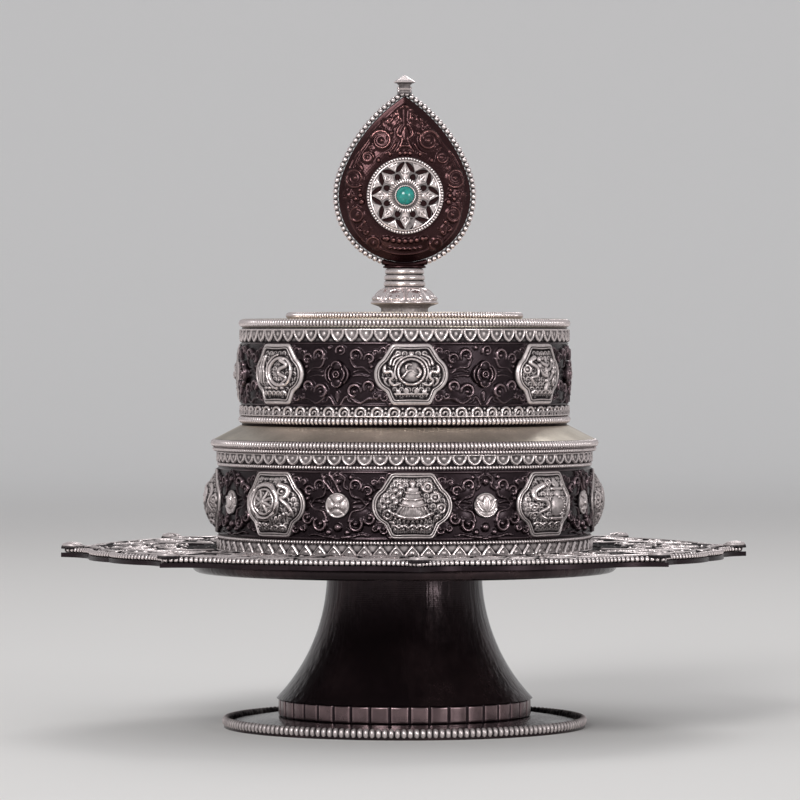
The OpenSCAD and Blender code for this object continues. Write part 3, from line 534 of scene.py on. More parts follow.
def crescent(chase):
    """Ribbon that folds on itself inside a double crescent, beside a bank of upright clouds."""
    chase.arc(3.8, 0.9, 5.3, 70, 290, 0.75, 1.55)
    chase.arc(3.8, 0.9, 6.9, 105, 255, 0.5, 1.3)
    chase.arc(3.2, 0.9, 5.9, -60, 60, 0.5, 1.15)
    chase.stroke([(4.4, 5.4), (7, 3.6), (4, 1.9), (3.8, 0.2), (7.2, -1.6), (4.2, -3.8)], 1, 1.65, 0.55)
    for i, x in enumerate((-10, -8, -5.9)):
        cloud = (x + 0.7, 5.2 + 0.3 * i), (x - 0.5, 3), (x + 0.5, 0.4), (x - 0.3, -3.4)
        chase.stroke(cloud, 0.85, 1.4, 0.5)
        chase.ball(x + 0.9, 6.4 + 0.2 * i, 0.95, 1.3)
    for i in range(5):
        chase.oval(-4.6 + i * 2.3, -5.4, 1, 0.6, 1.15)
    waves(chase, -7.9, 5, 2.5)


def cross_rosette(chase):
    """Flat rosette cut into four pads by a slanting cross, with a boss in the middle."""
    chase.ball(0, 0, 5.2, 0.62)
    for turn in (0, 90, 180, 270):
        x, y = 2.5 * math.cos(math.radians(turn)), 2.5 * math.sin(math.radians(turn))
        chase.oval(x, y, 1.75, 2.35, 0.95, turn)
    slope = math.sqrt(0.5)
    first, second = np.abs(chase.x + chase.y) * slope, np.abs(chase.y - chase.x) * slope
    cut = np.clip(np.minimum(first, second) / 0.55, 0.15, 1)
    chase.height *= np.where(np.maximum(first, second) > 1.4, cut, 1)
    chase.ball(0, -0.2, 1.45, 1.35)


def lotus_rosette(chase):
    """Rosette like an open lotus: a pointed bud between side petals over a bowl of two wide ones."""
    chase.oval(0, -1.2, 4.5, 3, 0.6)
    for side in chase.sides():
        side.petal(0.4, -3.6, 5.4, 3, 24, 0.95)
        side.petal(0.7, -2.2, 5.6, 2.9, 54, 1.15)
    chase.petal(0, -2.4, 6, 3.4, 90, 1.5)
    chase.arc(0, -0.6, 3.7, 205, 335, 0.55, 0.95)


def dark_flower(chase):
    """Flower of two round petals and two pairs of crescents about a ringed bead."""
    chase.ring(0, 0, 1.15, 0.4, 1.75)
    chase.ball(0, 0, 0.7, 1.55)
    for hand in (-1, 1):
        chase.oval(0, hand * 3.3, 2.1, 1.8, 1)
        chase.arc(0, hand * 3, 1.95, hand * 90 - 85, hand * 90 + 85, 0.42, 1.6)
    for side in chase.sides():
        side.arc(0, 0, 3.2, -46, 46, 0.42, 1.45)
        side.arc(0, 0, 4.7, -46, 46, 0.5, 1.3)


def lower_field(chase):
    """Clouds of the lower wall between two medallions, about a rosette."""
    beads = ((24, 11.6, 0.8, 1.1), (24, -11.6, 0.8, 1.1), (3.9, -10.4, 1.2, 1.4), (5.4, 10.9, 0.95, 1.3),
             (12.9, 2.6, 0.9, 1.2), (13.6, -3, 0.9, 1.2))
    for side, right in zip(chase.sides(), RIGHTWARD):
        side.cloud(9.4, 6.4, 4.2, -24, 1.6)
        side.cloud(9.8, -5.8, 4.8, 202, 1.65, -1)
        side.cloud(16.2, 9, 2.7, 12, 1.4, -1)
        side.cloud(16.6, -8.8, 2.8, 170, 1.4)
        side.scroll(20.4, 11, 1.5, 0.9, right, 0.46, 1.25)
        side.scroll(20.8, -11, 1.5, 0.9, right, 0.46, 1.25, -1)
        for x, y, r, high in beads:
            side.ball(x, y, r, high)
        side.stroke([(6.2, 1), (8.6, 1.5), (11.2, 1)], 0.4, 0.85, 0.25)
        side.stroke([(6.2, -0.7), (8.4, -0.6), (11.4, -1)], 0.4, 0.8, 0.25)
        side.stroke([(0.9, 12.3), (3, 10.6), (2.4, 7.6), (4.2, 6)], 0.42, 1.2, 0.3)
        side.stroke([(1.6, -12.3), (6, -12), (9.6, -11.2), (12.4, -11.8)], 0.42, 1.1, 0.3)
    for y in (-12.9, 12.9):
        chase.level(y, 30, 0.34, 0.75)
    chase.ball(0, -8.5, 1.6, 1.6)
    chase.ball(0, 9.3, 1.5, 1.55)
    chase.arc(0, 9.3, 2.3, 20, 160, 0.36, 1.1)
    chase.stipple(1.3, 0.08)


def ribbon_field(chase):
    """The lower wall's clouds with a ribbon that runs up from the rosette."""
    lower_field(chase)
    chase.stroke([(-1.4, 4.6), (-5, 9), (-6.6, 12)], 0.5, 1.7, 0.4)
    chase.stroke([(1, 5.2), (-1.4, 9.6), (-3.6, 12.2)], 0.5, 1.7, 0.4)


def upper_field(chase):
    """Clouds of the upper wall between two medallions, about a dark flower."""
    for side, right in zip(chase.sides(), RIGHTWARD):
        side.cloud(10.2, 6.4, 4.4, -14, 1.55)
        side.cloud(10, -6, 4.9, 18, 1.6)
        side.cloud(17, 8.4, 2.6, 14, 1.3, -1)
        side.cloud(17.2, -8.4, 2.7, 168, 1.3)
        side.scroll(20.6, 10.2, 1.4, 0.9, right, 0.44, 1.15)
        side.scroll(20.8, -10.2, 1.4, 0.9, right, 0.44, 1.15, -1)
        side.ball(13.8, 3, 0.8, 1.1)
        side.stroke([(6.6, 0.9), (9.4, 1.6), (13.2, 0.9)], 0.4, 0.85, 0.25)
        side.stroke([(6.4, -0.6), (9, -0.3), (12.6, -1)], 0.4, 0.8, 0.25)
        side.stroke([(1.4, -11.6), (3.6, -8.6), (5, -10.6), (9.8, -11.2)], 0.42, 1.15, 0.3)
    for hand in (-1, 1):
        chase.ball(hand * 24, hand * 10.6, 0.75, 1)
        chase.level(hand * 12, 30, 0.32, 0.7)
    chase.scroll(1.4, 9.2, 2, 0.85, 200, 0.46, 1.4, -1)
    chase.ball(-3.4, 10.4, 0.9, 1.2)
    chase.petal(0, -6.4, 4.4, 2.2, -90, 1.2)
    chase.stipple(1.3, 0.08)


def tray_field(chase, edge):
    """Foliage of one petal of the tray, drawn outwards along +y from its root, inside its edge."""
    beads = (18.6, 22, 1.3), (33.6, 29.5, 1.3), (15.6, 6.4, 1.2), (27, 4.6, 1.2), (13.4, 39, 1.1)
    for side, right in zip(chase.sides(), RIGHTWARD):
        side.scroll(12.5, 27, 8, 1.9, -90, 1.05, 1.8)
        side.scroll(27.5, 22, 7.2, 1.8, 130, 1, 1.75, -1)
        side.scroll(9, 12.5, 4.8, 1.5, 90, 0.85, 1.7)
        side.scroll(40, 28, 5.6, 1.5, 180 - right, 0.85, 1.65)
        side.scroll(22.5, 8.5, 3.6, 1.25, right, 0.75, 1.5, -1)
        side.scroll(5.4, 39, 3, 1.2, -90, 0.7, 1.5, -1)
        side.scroll(33.4, 36.6, 3.2, 1.2, -90, 0.7, 1.5)
        side.stroke([(0, 6), (7, 18.5), (20, 16), (34, 14)], 0.8, 1.4, 0.5)
        side.stroke([(3, 21), (14, 36.5), (26, 34), (36, 22)], 0.75, 1.4, 0.5)
        side.petal(20.5, 30, 9.5, 5, 72, 1.5)
        side.petal(19, 13, 8, 4.2, 28, 1.4)
        side.petal(4.2, 22, 9, 4.2, 64, 1.4)
        for x, y, r in beads:
            side.ball(x, y, r, 1.4)
    chase.petal(0, 22, 20, 8.4, 90, 1.9)
    chase.petal(0, 4, 14, 6, 90, 1.6)
    chase.line(edge, 1, 1.7)


def tray_root(chase, count, root):
    """Ring of small lotus petals at the roots of the tray's petals."""
    step = 360 / PETALS / count
    width = math.radians(step) * root * 0.96
    start = root - 4.2
    for k in range(count):
        lean = (k - (count - 1) / 2) * step
        x, y = start * math.sin(math.radians(lean)), start * math.cos(math.radians(lean))
        chase.petal(x, y, 6.4, width, 90 - lean, 1.3)


def leaf_field(chase, line):
    """Foliage of the leaf round the wheel, inside a raised line."""
    pads = (9.5, 22.2, 4.4), (20.2, 7.2, 4.2), (19.2, -7.6, 3.4), (12.6, -19, 3), (14.9, 15.4, 2.6)
    beads = ((17.4, -2.4, 1.25), (17.9, 0.1, 1.05), (18.2, 2.3, 0.9), (19.7, -1.2, 0.95), (5.4, 25, 0.8),
             (16.2, -10.4, 0.9), (8.4, -17, 0.9), (6, 16.6, 0.85), (0.9, 35.6, 0.7), (10.6, 14.2, 0.9))
    leaves = ((5.6, 21, 3.6, 30), (7.4, 26.6, 4.2, 70), (16.8, 10.4, 3.6, 50),
              (21.4, -1.8, 3.4, -80), (9.2, -20.8, 3.4, -10), (2, 31, 4.2, 76))
    for side, right in zip(chase.sides(), RIGHTWARD):
        for x, y, r in pads:
            side.ball(x, y, r, 0.75)
        side.scroll(9.5, 22.2, 4.1, 1.4, 20, 0.66, 1.4)
        side.scroll(20.2, 7.2, 3.9, 1.35, -130, 0.64, 1.35)
        side.scroll(19.2, -7.6, 3.1, 1.2, 90, 0.58, 1.25, -1)
        side.scroll(12.6, -19, 2.7, 1.15, 180 - right, 0.54, 1.2)
        side.scroll(14.9, 15.4, 2.3, 1.05, right, 0.5, 1.2, -1)
        side.cloud(4.6, 30.4, 2.6, -30, 1.2)
        side.cloud(22.8, 0.4, 2, right, 1.1)
        side.cloud(16.4, -13.6, 2.2, 220, 1.1)
        side.cloud(13, 19.6, 1.7, -40, 1.05)
        side.stroke([(2.2, 19.4), (1.2, 22.6), (3.2, 25), (1.6, 28.6)], 0.55, 1.25, 0.35)
        side.stroke([(3.9, 20.6), (5.4, 18.2), (8, 16.8)], 0.5, 1.05, 0.32)
        side.stroke([(23.6, 4.2), (21.6, 13.2), (15.4, 20.8)], 0.42, 0.9, 0.3)
        side.stroke([(22.8, -4.6), (20.6, -12.6), (13.8, -21.4)], 0.42, 0.9, 0.3)
        for x, y, r in beads:
            side.ball(x, y, r, 1.25)
        for x, y, long, angle in leaves:
            side.petal(x, y, long, long * 0.5, angle, 1.05)
    for i in range(-3, 4):
        chase.ball(i * 2.35, -18.1 + 0.1 * i * i, 1.15, 1.35)
        chase.oval(i * 2, -21.2 + 0.06 * i * i, 0.9, 0.55, 1)
    for i in (-1, 0, 1):
        chase.ball(i * 2, 17.1 - 0.12 * i * i, 0.95, 1.2)
    chase.arc(0, 16.4, 3.6, 20, 160, 0.45, 1.1)
    chase.petal(0, 21.6, 6.4, 3.2, 90, 1.2)
    chase.stipple(1.3, 0.1)
    chase.line(line, 0.36, 0.55)


# Meshes


def lattice(rows, cols, round_rows=True):
    """Quads between neighbouring rows and columns of points, whose columns run all round."""
    i, j = np.meshgrid(np.arange(rows if round_rows else rows - 1), np.arange(cols), indexing="ij")
    k, m = (i + 1) % rows, (j + 1) % cols
    return np.stack([i * cols + j, i * cols + m, k * cols + m, k * cols + j], -1).reshape(-1, 4)


def fan(start, count, tip):
    """Triangles from a round of points, which begins at start, to one point."""
    j = np.arange(count)
    return np.stack([start + j, start + (j + 1) % count, np.full(count, tip)], -1)


def revolve(radii, turns, levels):
    """Points at radii and levels, turned round the axis."""
    return np.stack(np.broadcast_arrays(radii * np.cos(turns), radii * np.sin(turns), levels), -1)


def unit(vectors):
    """The vectors at length 1."""
    return vectors / np.linalg.norm(vectors, axis=1)[:, None]


def strung(path, pitch, shift=0.0):
    """Spots along a path and their spacing, close to pitch; the first lies shift spacings along."""
    run = np.concatenate([[0], np.cumsum(np.linalg.norm(np.diff(path, axis=0), axis=1))])
    count = round(run[-1] / pitch)
    spacing = run[-1] / count
    stops = (np.arange(count) + shift) * spacing
    return np.column_stack([np.interp(stops, run, side) for side in path.T]), spacing


def smooth_mesh(name, points, faces):
    """Mesh with smooth faces, from points in metres."""
    mesh = bpy.data.meshes.new(name)
    mesh.from_pydata(points.reshape(-1, 3).tolist(), [], faces)
    mesh.polygons.foreach_set("use_smooth", np.ones(len(mesh.polygons), bool))
    return mesh


def placed(name, data):
    """New object in the scene."""
    made = bpy.data.objects.new(name, data)
    bpy.context.scene.collection.objects.link(made)
    return made


class Shell:
    """Points, faces and wear with painted light of one piece, gathered from closed skins."""

    def __init__(self):
        self.points = []
        self.faces = []
        self.wear_and_painted_light = []
        self.count = 0

    def add(self, points, wear_and_painted_light, *faces):
        """Adds a skin; its wear is 0 in the dark recesses and 1 on the bright high spots, partly oxide and
        rubbing, partly painted shade and painted highlights.
        """
        points = np.asarray(points, float).reshape(-1, 3)
        for group in faces:
            self.faces.extend((np.asarray(group) + self.count).tolist())
        self.points.append(points)
        self.wear_and_painted_light.append(np.broadcast_to(np.asarray(wear_and_painted_light, float).reshape(-1), len(points)))
        self.count += len(points)

    def ring(self, angles, levels, heights, wear_and_painted_light, wall_r, back_r):
        """Closed band round the axis: heights over a wall in front, repeated all round, and a plain back."""
        repeats = len(angles) // heights.shape[1]
        back = np.zeros((2, len(angles)))
        radii = np.vstack([wall_r + np.tile(heights, repeats), back + back_r])
        wear_and_painted_light = np.vstack([np.tile(wear_and_painted_light, repeats), back])
        z = np.append(levels, [levels[-1], levels[0]])[:, None]
        self.add(revolve(radii, angles, z), wear_and_painted_light, lattice(*radii.shape))

    def stack(self, rounds, wear_and_painted_light):
        """Closed skin through rounds of points, flat at both ends; the wear with painted light has a value
        for each round.
        """
        rows, cols = rounds.shape[:2]
        ends = np.arange(cols)[None]
        sides = lattice(rows, cols, round_rows=False)
        self.add(rounds, np.repeat(wear_and_painted_light, cols), sides, ends[:, ::-1], ends + (rows - 1) * cols)

    def boss(self, place, turns, edge, shares, lift, back):
        """Domed skin over an outline, from its back edge over its rim to its middle."""
        reach = shares[:, None] * edge
        x, y = reach * np.cos(turns), reach * np.sin(turns)
        height, wear_and_painted_light = lift(x, y, edge - reach)
        rim = place(x[:1], y[:1], np.full((1, len(turns)), back))
        zero = np.zeros(1)
        middle = place(zero, zero, height[-1:].mean(1))
        behind = place(zero, zero, zero + back)
        rows, cols = len(shares) + 1, len(turns)
        points = np.vstack([rim.reshape(-1, 3), place(x, y, height).reshape(-1, 3), middle, behind])
        values = np.concatenate([np.zeros(cols), wear_and_painted_light.ravel(), [wear_and_painted_light[-1].mean(), 0]])
        cap = fan((rows - 1) * cols, cols, rows * cols)
        base = fan(0, cols, rows * cols + 1)[:, ::-1]
        self.add(points, values, lattice(rows, cols, round_rows=False), cap, base)

    def beads(self, centres, along, out, up, sizes, fine=(10, 7), shine=1.0):
        """Egg-shaped beads; sizes are their half-lengths along, out and up."""
        lon, lat = fine
        u = around(lon)
        v = np.arange(1, lat) / lat * math.pi
        a = np.repeat(np.cos(v), lon)
        b = np.outer(np.sin(v), np.cos(u)).ravel()
        c = np.outer(np.sin(v), np.sin(u)).ravel()
        local = np.vstack([np.column_stack([a, b, c]), [[1, 0, 0], [-1, 0, 0]]]) * sizes
        axes = np.stack([along, out, up], 1)
        points = centres[:, None] + np.einsum("pk,nkd->npd", local, axes)
        # Beads are darker towards their ends, where they meet, and on their inner side, as painted shade,
        # and lighter on their outer side, as rubbing and painted highlight; shine scales this
        wear_and_painted_light = np.append(np.sin(v).repeat(lon) ** 1.6 * np.clip(0.62 + 0.38 * b, 0.2, 1), [0, 0])
        wear_and_painted_light = np.minimum(wear_and_painted_light * shine, 1)
        pole = (lat - 1) * lon
        side = lattice(lat - 1, lon, round_rows=False)
        ends = np.vstack([fan(0, lon, pole)[:, ::-1], fan(pole - lon, lon, pole + 1)])
        if np.dot(np.cross(along[0], out[0]), up[0]) > 0:
            side, ends = side[:, ::-1], ends[:, ::-1]
        steps = np.arange(len(centres))[:, None, None] * len(local)
        side, ends = (side + steps).reshape(-1, 4), (ends + steps).reshape(-1, 3)
        self.add(points, np.tile(wear_and_painted_light, len(centres)), side, ends)

    def tube(self, centres, out, up, half_out, half_up, wear_and_painted_light, sides=8, closed=True):
        """Core wire along a path of centres."""
        u = around(sides)[:, None, None]
        section = np.cos(u) * half_out * out + np.sin(u) * half_up * up
        points = (centres + section).transpose(1, 0, 2)
        rows = len(centres)
        faces = lattice(rows, sides, round_rows=closed)
        caps = []
        if not closed:
            end = np.arange(sides)[None]
            caps = [end, end[:, ::-1] + (rows - 1) * sides]
        along = centres[1] - centres[0]
        if np.dot(np.cross(out[0], up[0]), along) > 0:
            faces = faces[:, ::-1]
            caps = [cap[:, ::-1] for cap in caps]
        self.add(points, wear_and_painted_light, faces, *caps)

    def beaded_ring(self, radius, level, wire_r, pitch, tall=None, fine=(10, 7), shine=1.0):
        """Beaded wire round the axis, of round beads or of tall ones."""
        count = round(TAU * radius / pitch)
        turn = around(count)
        out = revolve(1, turn, 0)
        along = revolve(1, turn + math.pi / 2, 0)
        up = np.tile([0.0, 0.0, 1.0], (count, 1))
        centres = revolve(radius, turn, level)
        half = math.pi * radius / count * 1.06
        self.beads(centres, along, out, up, (half, wire_r, tall or wire_r), fine, shine)
        self.tube(centres, out, up, wire_r * 0.62, wire_r * 0.62, CORE_SHADE)

    def piece(self, name, body, look, *nodes, crease=None):
        """Makes the object, which rides on its body and stands for its CAD nodes."""
        slot, finish = look
        mesh = smooth_mesh(name, np.vstack(self.points) * MM, self.faces)
        # The relief attribute carries the wear with its painted shade and painted highlights to the finish
        layer = mesh.attributes.new("relief", "FLOAT", "POINT")
        layer.data.foreach_set("value", np.concatenate(self.wear_and_painted_light).astype(np.float32))
        if crease:
            mesh.set_sharp_from_angle(angle=math.radians(crease))
        mesh.materials.append(bpy.data.materials[finish])
        mesh.update()
        made = placed(name, mesh)
        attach(made, body)
        if nodes:
            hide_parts(*nodes)


def columns(per, pitch):
    """Columns of one repeat of a pattern, measured from its middle."""
    return (np.arange(per) / per - 0.5) * pitch


def repeat_angles(count, per, offset):
    """Angles round the axis for count repeats of per columns, the first about the front plus offset."""
    return FRONT + offset + (np.arange(count * per) - per / 2) / (count * per) * TAU


def on_wall(wall_r, angle, level):
    """Places pattern points on a drum wall: x along the wall, y up, height outwards."""
    return lambda x, y, height: revolve(wall_r + height, angle + x / wall_r, level + y)


def on_tray(turn, reach):
    """Places pattern points on the tray, y outwards along one petal from reach."""
    c, s = math.cos(turn), math.sin(turn)
    return lambda x, y, height: np.stack([(reach + y) * c + x * s, (reach + y) * s - x * c, height], -1)


def on_leaf(side, level):
    """Places pattern points on the front (side 1) or back (side -1) of the leaf."""
    return lambda x, y, height: np.stack([side * x, -side * height, level + y], -1)


def on_spoke(place, turn, reach):
    """Places pattern points on the wheel, x outwards along one spoke from reach."""
    c, s = math.cos(turn), math.sin(turn)
    return lambda x, y, height: place((x + reach) * c - y * s, (x + reach) * s + y * c, height)


def polygon_reach(turns, corners):
    """Reach of a polygon's outline from its middle."""
    tiny = 1e-9
    corners = np.array(corners, float)
    corners = corners[np.argsort(np.arctan2(corners[:, 1], corners[:, 0]))]
    c, s = np.cos(turns), np.sin(turns)
    found = np.zeros(turns.shape)
    for (ax, ay), (bx, by) in zip(corners, np.roll(corners, -1, 0)):
        cross = c * (by - ay) - s * (bx - ax)
        cross = np.where(np.abs(cross) < tiny, tiny, cross)
        far = (ax * (by - ay) - ay * (bx - ax)) / cross
        share = (ax * s - ay * c) / cross
        hit = (far > 0) & (share >= -tiny) & (share <= 1 + tiny)
        found = np.where(hit, np.maximum(found, far), found)
    return found


def cartouche(turns, width, tall):
    """Reach of a medallion's outline: a body with cut corners and a round lobe at each side."""
    half = [(0.26, -0.5), (0.345, -0.28), (0.375, 0.28), (0.26, 0.5)]
    corners = np.array([*half, *((-x, y) for x, y in half)]) * (width, tall)
    lobe_r = tall * 0.305
    middle = width / 2 - lobe_r
    ahead = middle * np.abs(np.cos(turns))
    inside = ahead**2 - middle**2 + lobe_r**2
    lobe = np.where(inside > 0, ahead + np.sqrt(np.clip(inside, 0, None)), 0)
    reach = np.maximum(polygon_reach(turns, corners), lobe)
    for _ in range(5):
        reach = (np.roll(reach, 1) + 2 * reach + np.roll(reach, -1)) / 4
    return reach


def leaf_edge(turns, inset, leaf_r, point):
    """Reach of the leaf's outline from the wheel's middle, drawn in by inset."""
    lean = math.radians(20)
    k = (point**2 - leaf_r**2) / (2 * (leaf_r - point * math.sin(lean)))
    along = -k * (np.abs(np.cos(turns)) * math.cos(lean) + np.sin(turns) * math.sin(lean))
    side = leaf_r + k - inset
    upper = along + np.sqrt(np.clip(along**2 - k**2 + side**2, 0, None))
    return np.where(np.sin(turns) > math.sin(lean), upper, leaf_r - inset)


def tray_edge(turns, inset, tip_r):
    """Reach of the tray's outline, turns measured from a petal's tip: hollow flanks, then a round lobe."""
    cusp_r, tip_angle, sag, rise = tip_r - 10.2, math.radians(8.5), 2.6, 2.6
    step = TAU / PETALS
    off = np.abs((turns + step / 2) % step - step / 2)
    cusp = np.array([cusp_r * math.cos(tip_angle), cusp_r * math.sin(tip_angle)])
    chord = np.array([tip_r, 0]) - cusp
    span = np.linalg.norm(chord)
    outward = np.array([-chord[1], chord[0]]) / span
    flank_r = (span**2 / 4 + sag**2) / (2 * sag)
    fx, fy = cusp + chord / 2 + outward * (flank_r - sag)
    ahead = np.cos(off) * fx + np.sin(off) * fy
    inside = ahead**2 - fx**2 - fy**2 + (flank_r + inset) ** 2
    flank = np.where((inside > 0) & (off < tip_angle * 1.15), ahead - np.sqrt(np.clip(inside, 0, None)), 0)
    half = (step / 2 - tip_angle) / 2
    mid = step / 2 - half
    half_chord = cusp_r * math.sin(half)
    lobe_r = (half_chord**2 + rise**2) / (2 * rise)
    centre = cusp_r * math.cos(half) + rise - lobe_r
    across = centre * np.sin(off - mid)
    room = (lobe_r - inset) ** 2 - across**2
    lobe = centre * np.cos(off - mid) + np.sqrt(np.clip(room, 0, None))
    return np.maximum(np.where(off < tip_angle, np.maximum(flank, cusp_r - inset), lobe), flank)


# Finishes


class Value:
    """A shader socket that takes part in ordinary sums."""

    def __init__(self, finish, socket):
        self.finish = finish
        self.socket = socket

    def math(self, operation, first, second):
        """Sum, difference or product of two values."""
        return self.finish.node("ShaderNodeMath", {"operation": operation}, {0: first, 1: second})

    def __add__(self, other):
        return self.math("ADD", self, other)

    __radd__ = __add__

    def __sub__(self, other):
        return self.math("SUBTRACT", self, other)

    def __rsub__(self, other):
        return self.math("SUBTRACT", other, self)

    def __mul__(self, other):
        return self.math("MULTIPLY", self, other)

    __rmul__ = __mul__


class Finish:
    """A material put together node by node."""

    def __init__(self, name, **constants):
        self.material = bpy.data.materials.new(name)
        self.material.use_nodes = True
        self.tree = self.material.node_tree
        self.shader = self.tree.nodes["Principled BSDF"]
        self.show(**constants)
        self.place = self.node("ShaderNodeTexCoord", output=3)

    def node(self, kind, settings=None, sockets=None, output=0):
        """Adds a node with its settings, then its socket values or links, and gives one output."""
        made = self.tree.nodes.new(kind)
        for key, value in (settings or {}).items():
            setattr(made, key, value)
        for key, value in (sockets or {}).items():
            self.feed(made.inputs[key], value)
        return Value(self, made.outputs[output])

    def feed(self, socket, value):
        """Links a value to a socket, or sets a constant on it."""
        if isinstance(value, Value):
            self.tree.links.new(value.socket, socket)
        else:
            socket.default_value = value

    def vector(self, operation, sockets, output=0):
        """Vector sum, product or length."""
        return self.node("ShaderNodeVectorMath", {"operation": operation}, sockets, output)

    def noise(self, scale, detail=3.0, stretch=None):
        """Cloudy noise over the object, about 0.5."""
        place = self.vector("MULTIPLY", {0: self.place, 1: stretch}) if stretch else self.place
        return self.node("ShaderNodeTexNoise", None, {"Vector": place, "Scale": scale, "Detail": detail})

    def marks(self, settings, scale, distortion):
        """Fine turning marks."""
        sockets = {"Vector": self.place, "Scale": scale, "Distortion": distortion, "Detail": 2.0}
        return self.node("ShaderNodeTexWave", {**settings, "wave_profile": "SIN"}, sockets, output=1)

    def relief(self):
        """Wear that the mesh carries, with its painted shade and painted highlights."""
        return self.node("ShaderNodeAttribute", {"attribute_name": "relief"}, output=2)

    def soft(self, value, low, high):
        """0 below low, 1 above high, smooth between."""
        steps = {"Value": value, "From Min": low, "From Max": high}
        return self.node("ShaderNodeMapRange", {"interpolation_type": "SMOOTHSTEP"}, steps)

    def mix(self, share, first, second):
        """Colour from first to second."""
        first, second = (c if isinstance(c, Value) else (*c, 1.0) for c in (first, second))
        return self.node("ShaderNodeMix", {"data_type": "RGBA"}, {0: share, 6: first, 7: second}, output=2)

    def bump(self, height, strength, distance):
        """Normal of a fine grain."""
        sockets = {"Strength": strength, "Distance": distance, "Height": height}
        return self.node("ShaderNodeBump", None, sockets)

    def show(self, **sockets):
        """Feeds the shader's sockets and gives the material."""
        for socket, value in sockets.items():
            self.feed(self.shader.inputs[socket.replace("_", " ")], value)
        return self.material


def chased_silver(name, colours):
    """Oxidised silver: dull and dark in the recesses, bright where hands have rubbed it; the carried wear
    also paints shade into the hollows and highlights onto the ridges.
    """
    finish = Finish(name, Specular_IOR_Level=0.1)
    cloud = finish.noise(150.0)
    speck = finish.noise(950.0, 2.0)
    grain = finish.noise(2600.0, 2.0)
    worn_with_painted_light = finish.soft(finish.relief() + 0.3 * (cloud - 0.5) + 0.3 * (speck - 0.5), 0.1, 0.92)
    return finish.show(
        Base_Color=finish.mix(worn_with_painted_light, colours.silver_recess_and_shade, colours.silver_high_and_highlight),
        Metallic=0.04 + 0.96 * worn_with_painted_light,
        Roughness=0.66 - 0.42 * worn_with_painted_light + 0.2 * (grain - 0.5),
        Normal=finish.bump(grain + 0.8 * speck, 0.16, 0.00012),
    )


def dark_copper(name, ground, ridge_and_highlight, dull=0.34, raised=None):
    """Patinated copper: plum brown, a little lighter on the ridges as rubbing and painted highlight, darker
    in the hollows as patina and painted shade.
    """
    finish = Finish(name, Metallic=0.85, Coat_Weight=0.12, Coat_Roughness=0.2)
    cloud = finish.noise(95.0)
    grain = finish.noise(1800.0, 2.0)
    height = finish.relief() if raised is None else raised
    worn_with_painted_light = finish.soft(height + 0.35 * (cloud - 0.5), 0.15, 1.0)
    return finish.show(
        Base_Color=finish.mix(worn_with_painted_light * worn_with_painted_light, ground, ridge_and_highlight),
        Roughness=dull - 0.12 * worn_with_painted_light + 0.14 * (cloud - 0.5),
        Normal=finish.bump(grain, 0.16, 0.00012),
    )


def black_copper(name, colours):
    """Copper blackened all over, with turning marks, wavering streaks and brown patches."""
    finish = Finish(name, Metallic=0.75)
    cloud = finish.noise(28.0, 4.0)
    fine = finish.noise(900.0, 2.0)
    streak = finish.noise(420.0, 3.0, (1.0, 1.0, 0.06))
    marks = finish.marks({"wave_type": "BANDS", "bands_direction": "Z"}, 420.0, 1.4)
    patch = finish.soft(cloud + 0.3 * (streak - 0.5), 0.42, 0.75)
    return finish.show(
        Base_Color=finish.mix(patch, colours.black_ground, colours.black_patch),
        Roughness=0.17 + 0.12 * patch + 0.1 * (fine - 0.5),
        Normal=finish.bump(0.02 * marks + 0.1 * fine + 2.0 * streak, 0.25, 0.0006),
    )


def satin_silver(name, colours):
    """Grey satin silver with lathe marks round the axis."""
    finish = Finish(name, Metallic=1.0)
    cloud = finish.noise(45.0, 4.0)
    fine = finish.noise(1300.0, 2.0)
    marks = finish.marks({"wave_type": "RINGS", "rings_direction": "Z"}, 560.0, 1.0)
    patch = finish.soft(cloud + 0.25 * (fine - 0.5), 0.3, 0.7)
    return finish.show(
        Base_Color=finish.mix(patch, colours.satin_dull, colours.satin_clear),
        Roughness=0.36 + 0.1 * (1 - patch) + 0.12 * (fine - 0.5),
        Normal=finish.bump(marks + fine, 0.07, 0.0001),
    )


def plain_copper(name, colours):
    """Dull unplated copper of the hidden parts, browned in patches."""
    finish = Finish(name, Metallic=1.0)
    cloud = finish.noise(120.0, 4.0)
    fine = finish.noise(1500.0, 2.0)
    brown = finish.soft(cloud, 0.38, 0.72)
    return finish.show(
        Base_Color=finish.mix(brown, colours.copper_clean, colours.copper_brown),
        Roughness=0.38 + 0.2 * brown + 0.1 * (fine - 0.5),
        Normal=finish.bump(fine, 0.12, 0.0001),
    )


def turquoise(name, colours):
    """Polished stone with a fine brown web of matrix."""
    finish = Finish(name, Coat_Weight=0.4, Coat_Roughness=0.08)
    cloud = finish.noise(420.0, 4.0)
    wander = finish.node("ShaderNodeTexNoise", None, {"Vector": finish.place, "Scale": 700.0}, output=1)
    bent = finish.vector("ADD", {0: finish.place, 1: finish.vector("SCALE", {0: wander, "Scale": 0.0014})})
    cells = {"Vector": bent, "Scale": 430.0}
    web = finish.node("ShaderNodeTexVoronoi", {"feature": "DISTANCE_TO_EDGE"}, cells)
    vein = 1 - finish.soft(web, 0.0, 0.055)
    veined = vein * finish.soft(cloud, 0.44, 0.6)
    stone = finish.mix(finish.soft(cloud, 0.3, 0.7), colours.stone_deep, colours.stone_pale)
    return finish.show(
        Base_Color=finish.mix(0.85 * veined, stone, colours.stone_vein),
        Roughness=0.2 + 0.25 * veined,
        Normal=finish.bump(0 - veined, 0.1, 0.0001),
    )


def dress(finish, *nodes):
    """Gives carried-over CAD nodes a finish."""
    for node in nodes:
        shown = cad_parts[node]
        if not shown.material_slots:
            shown.data.materials.append(finish)
        for slot in shown.material_slots:
            slot.material = finish


# Settings


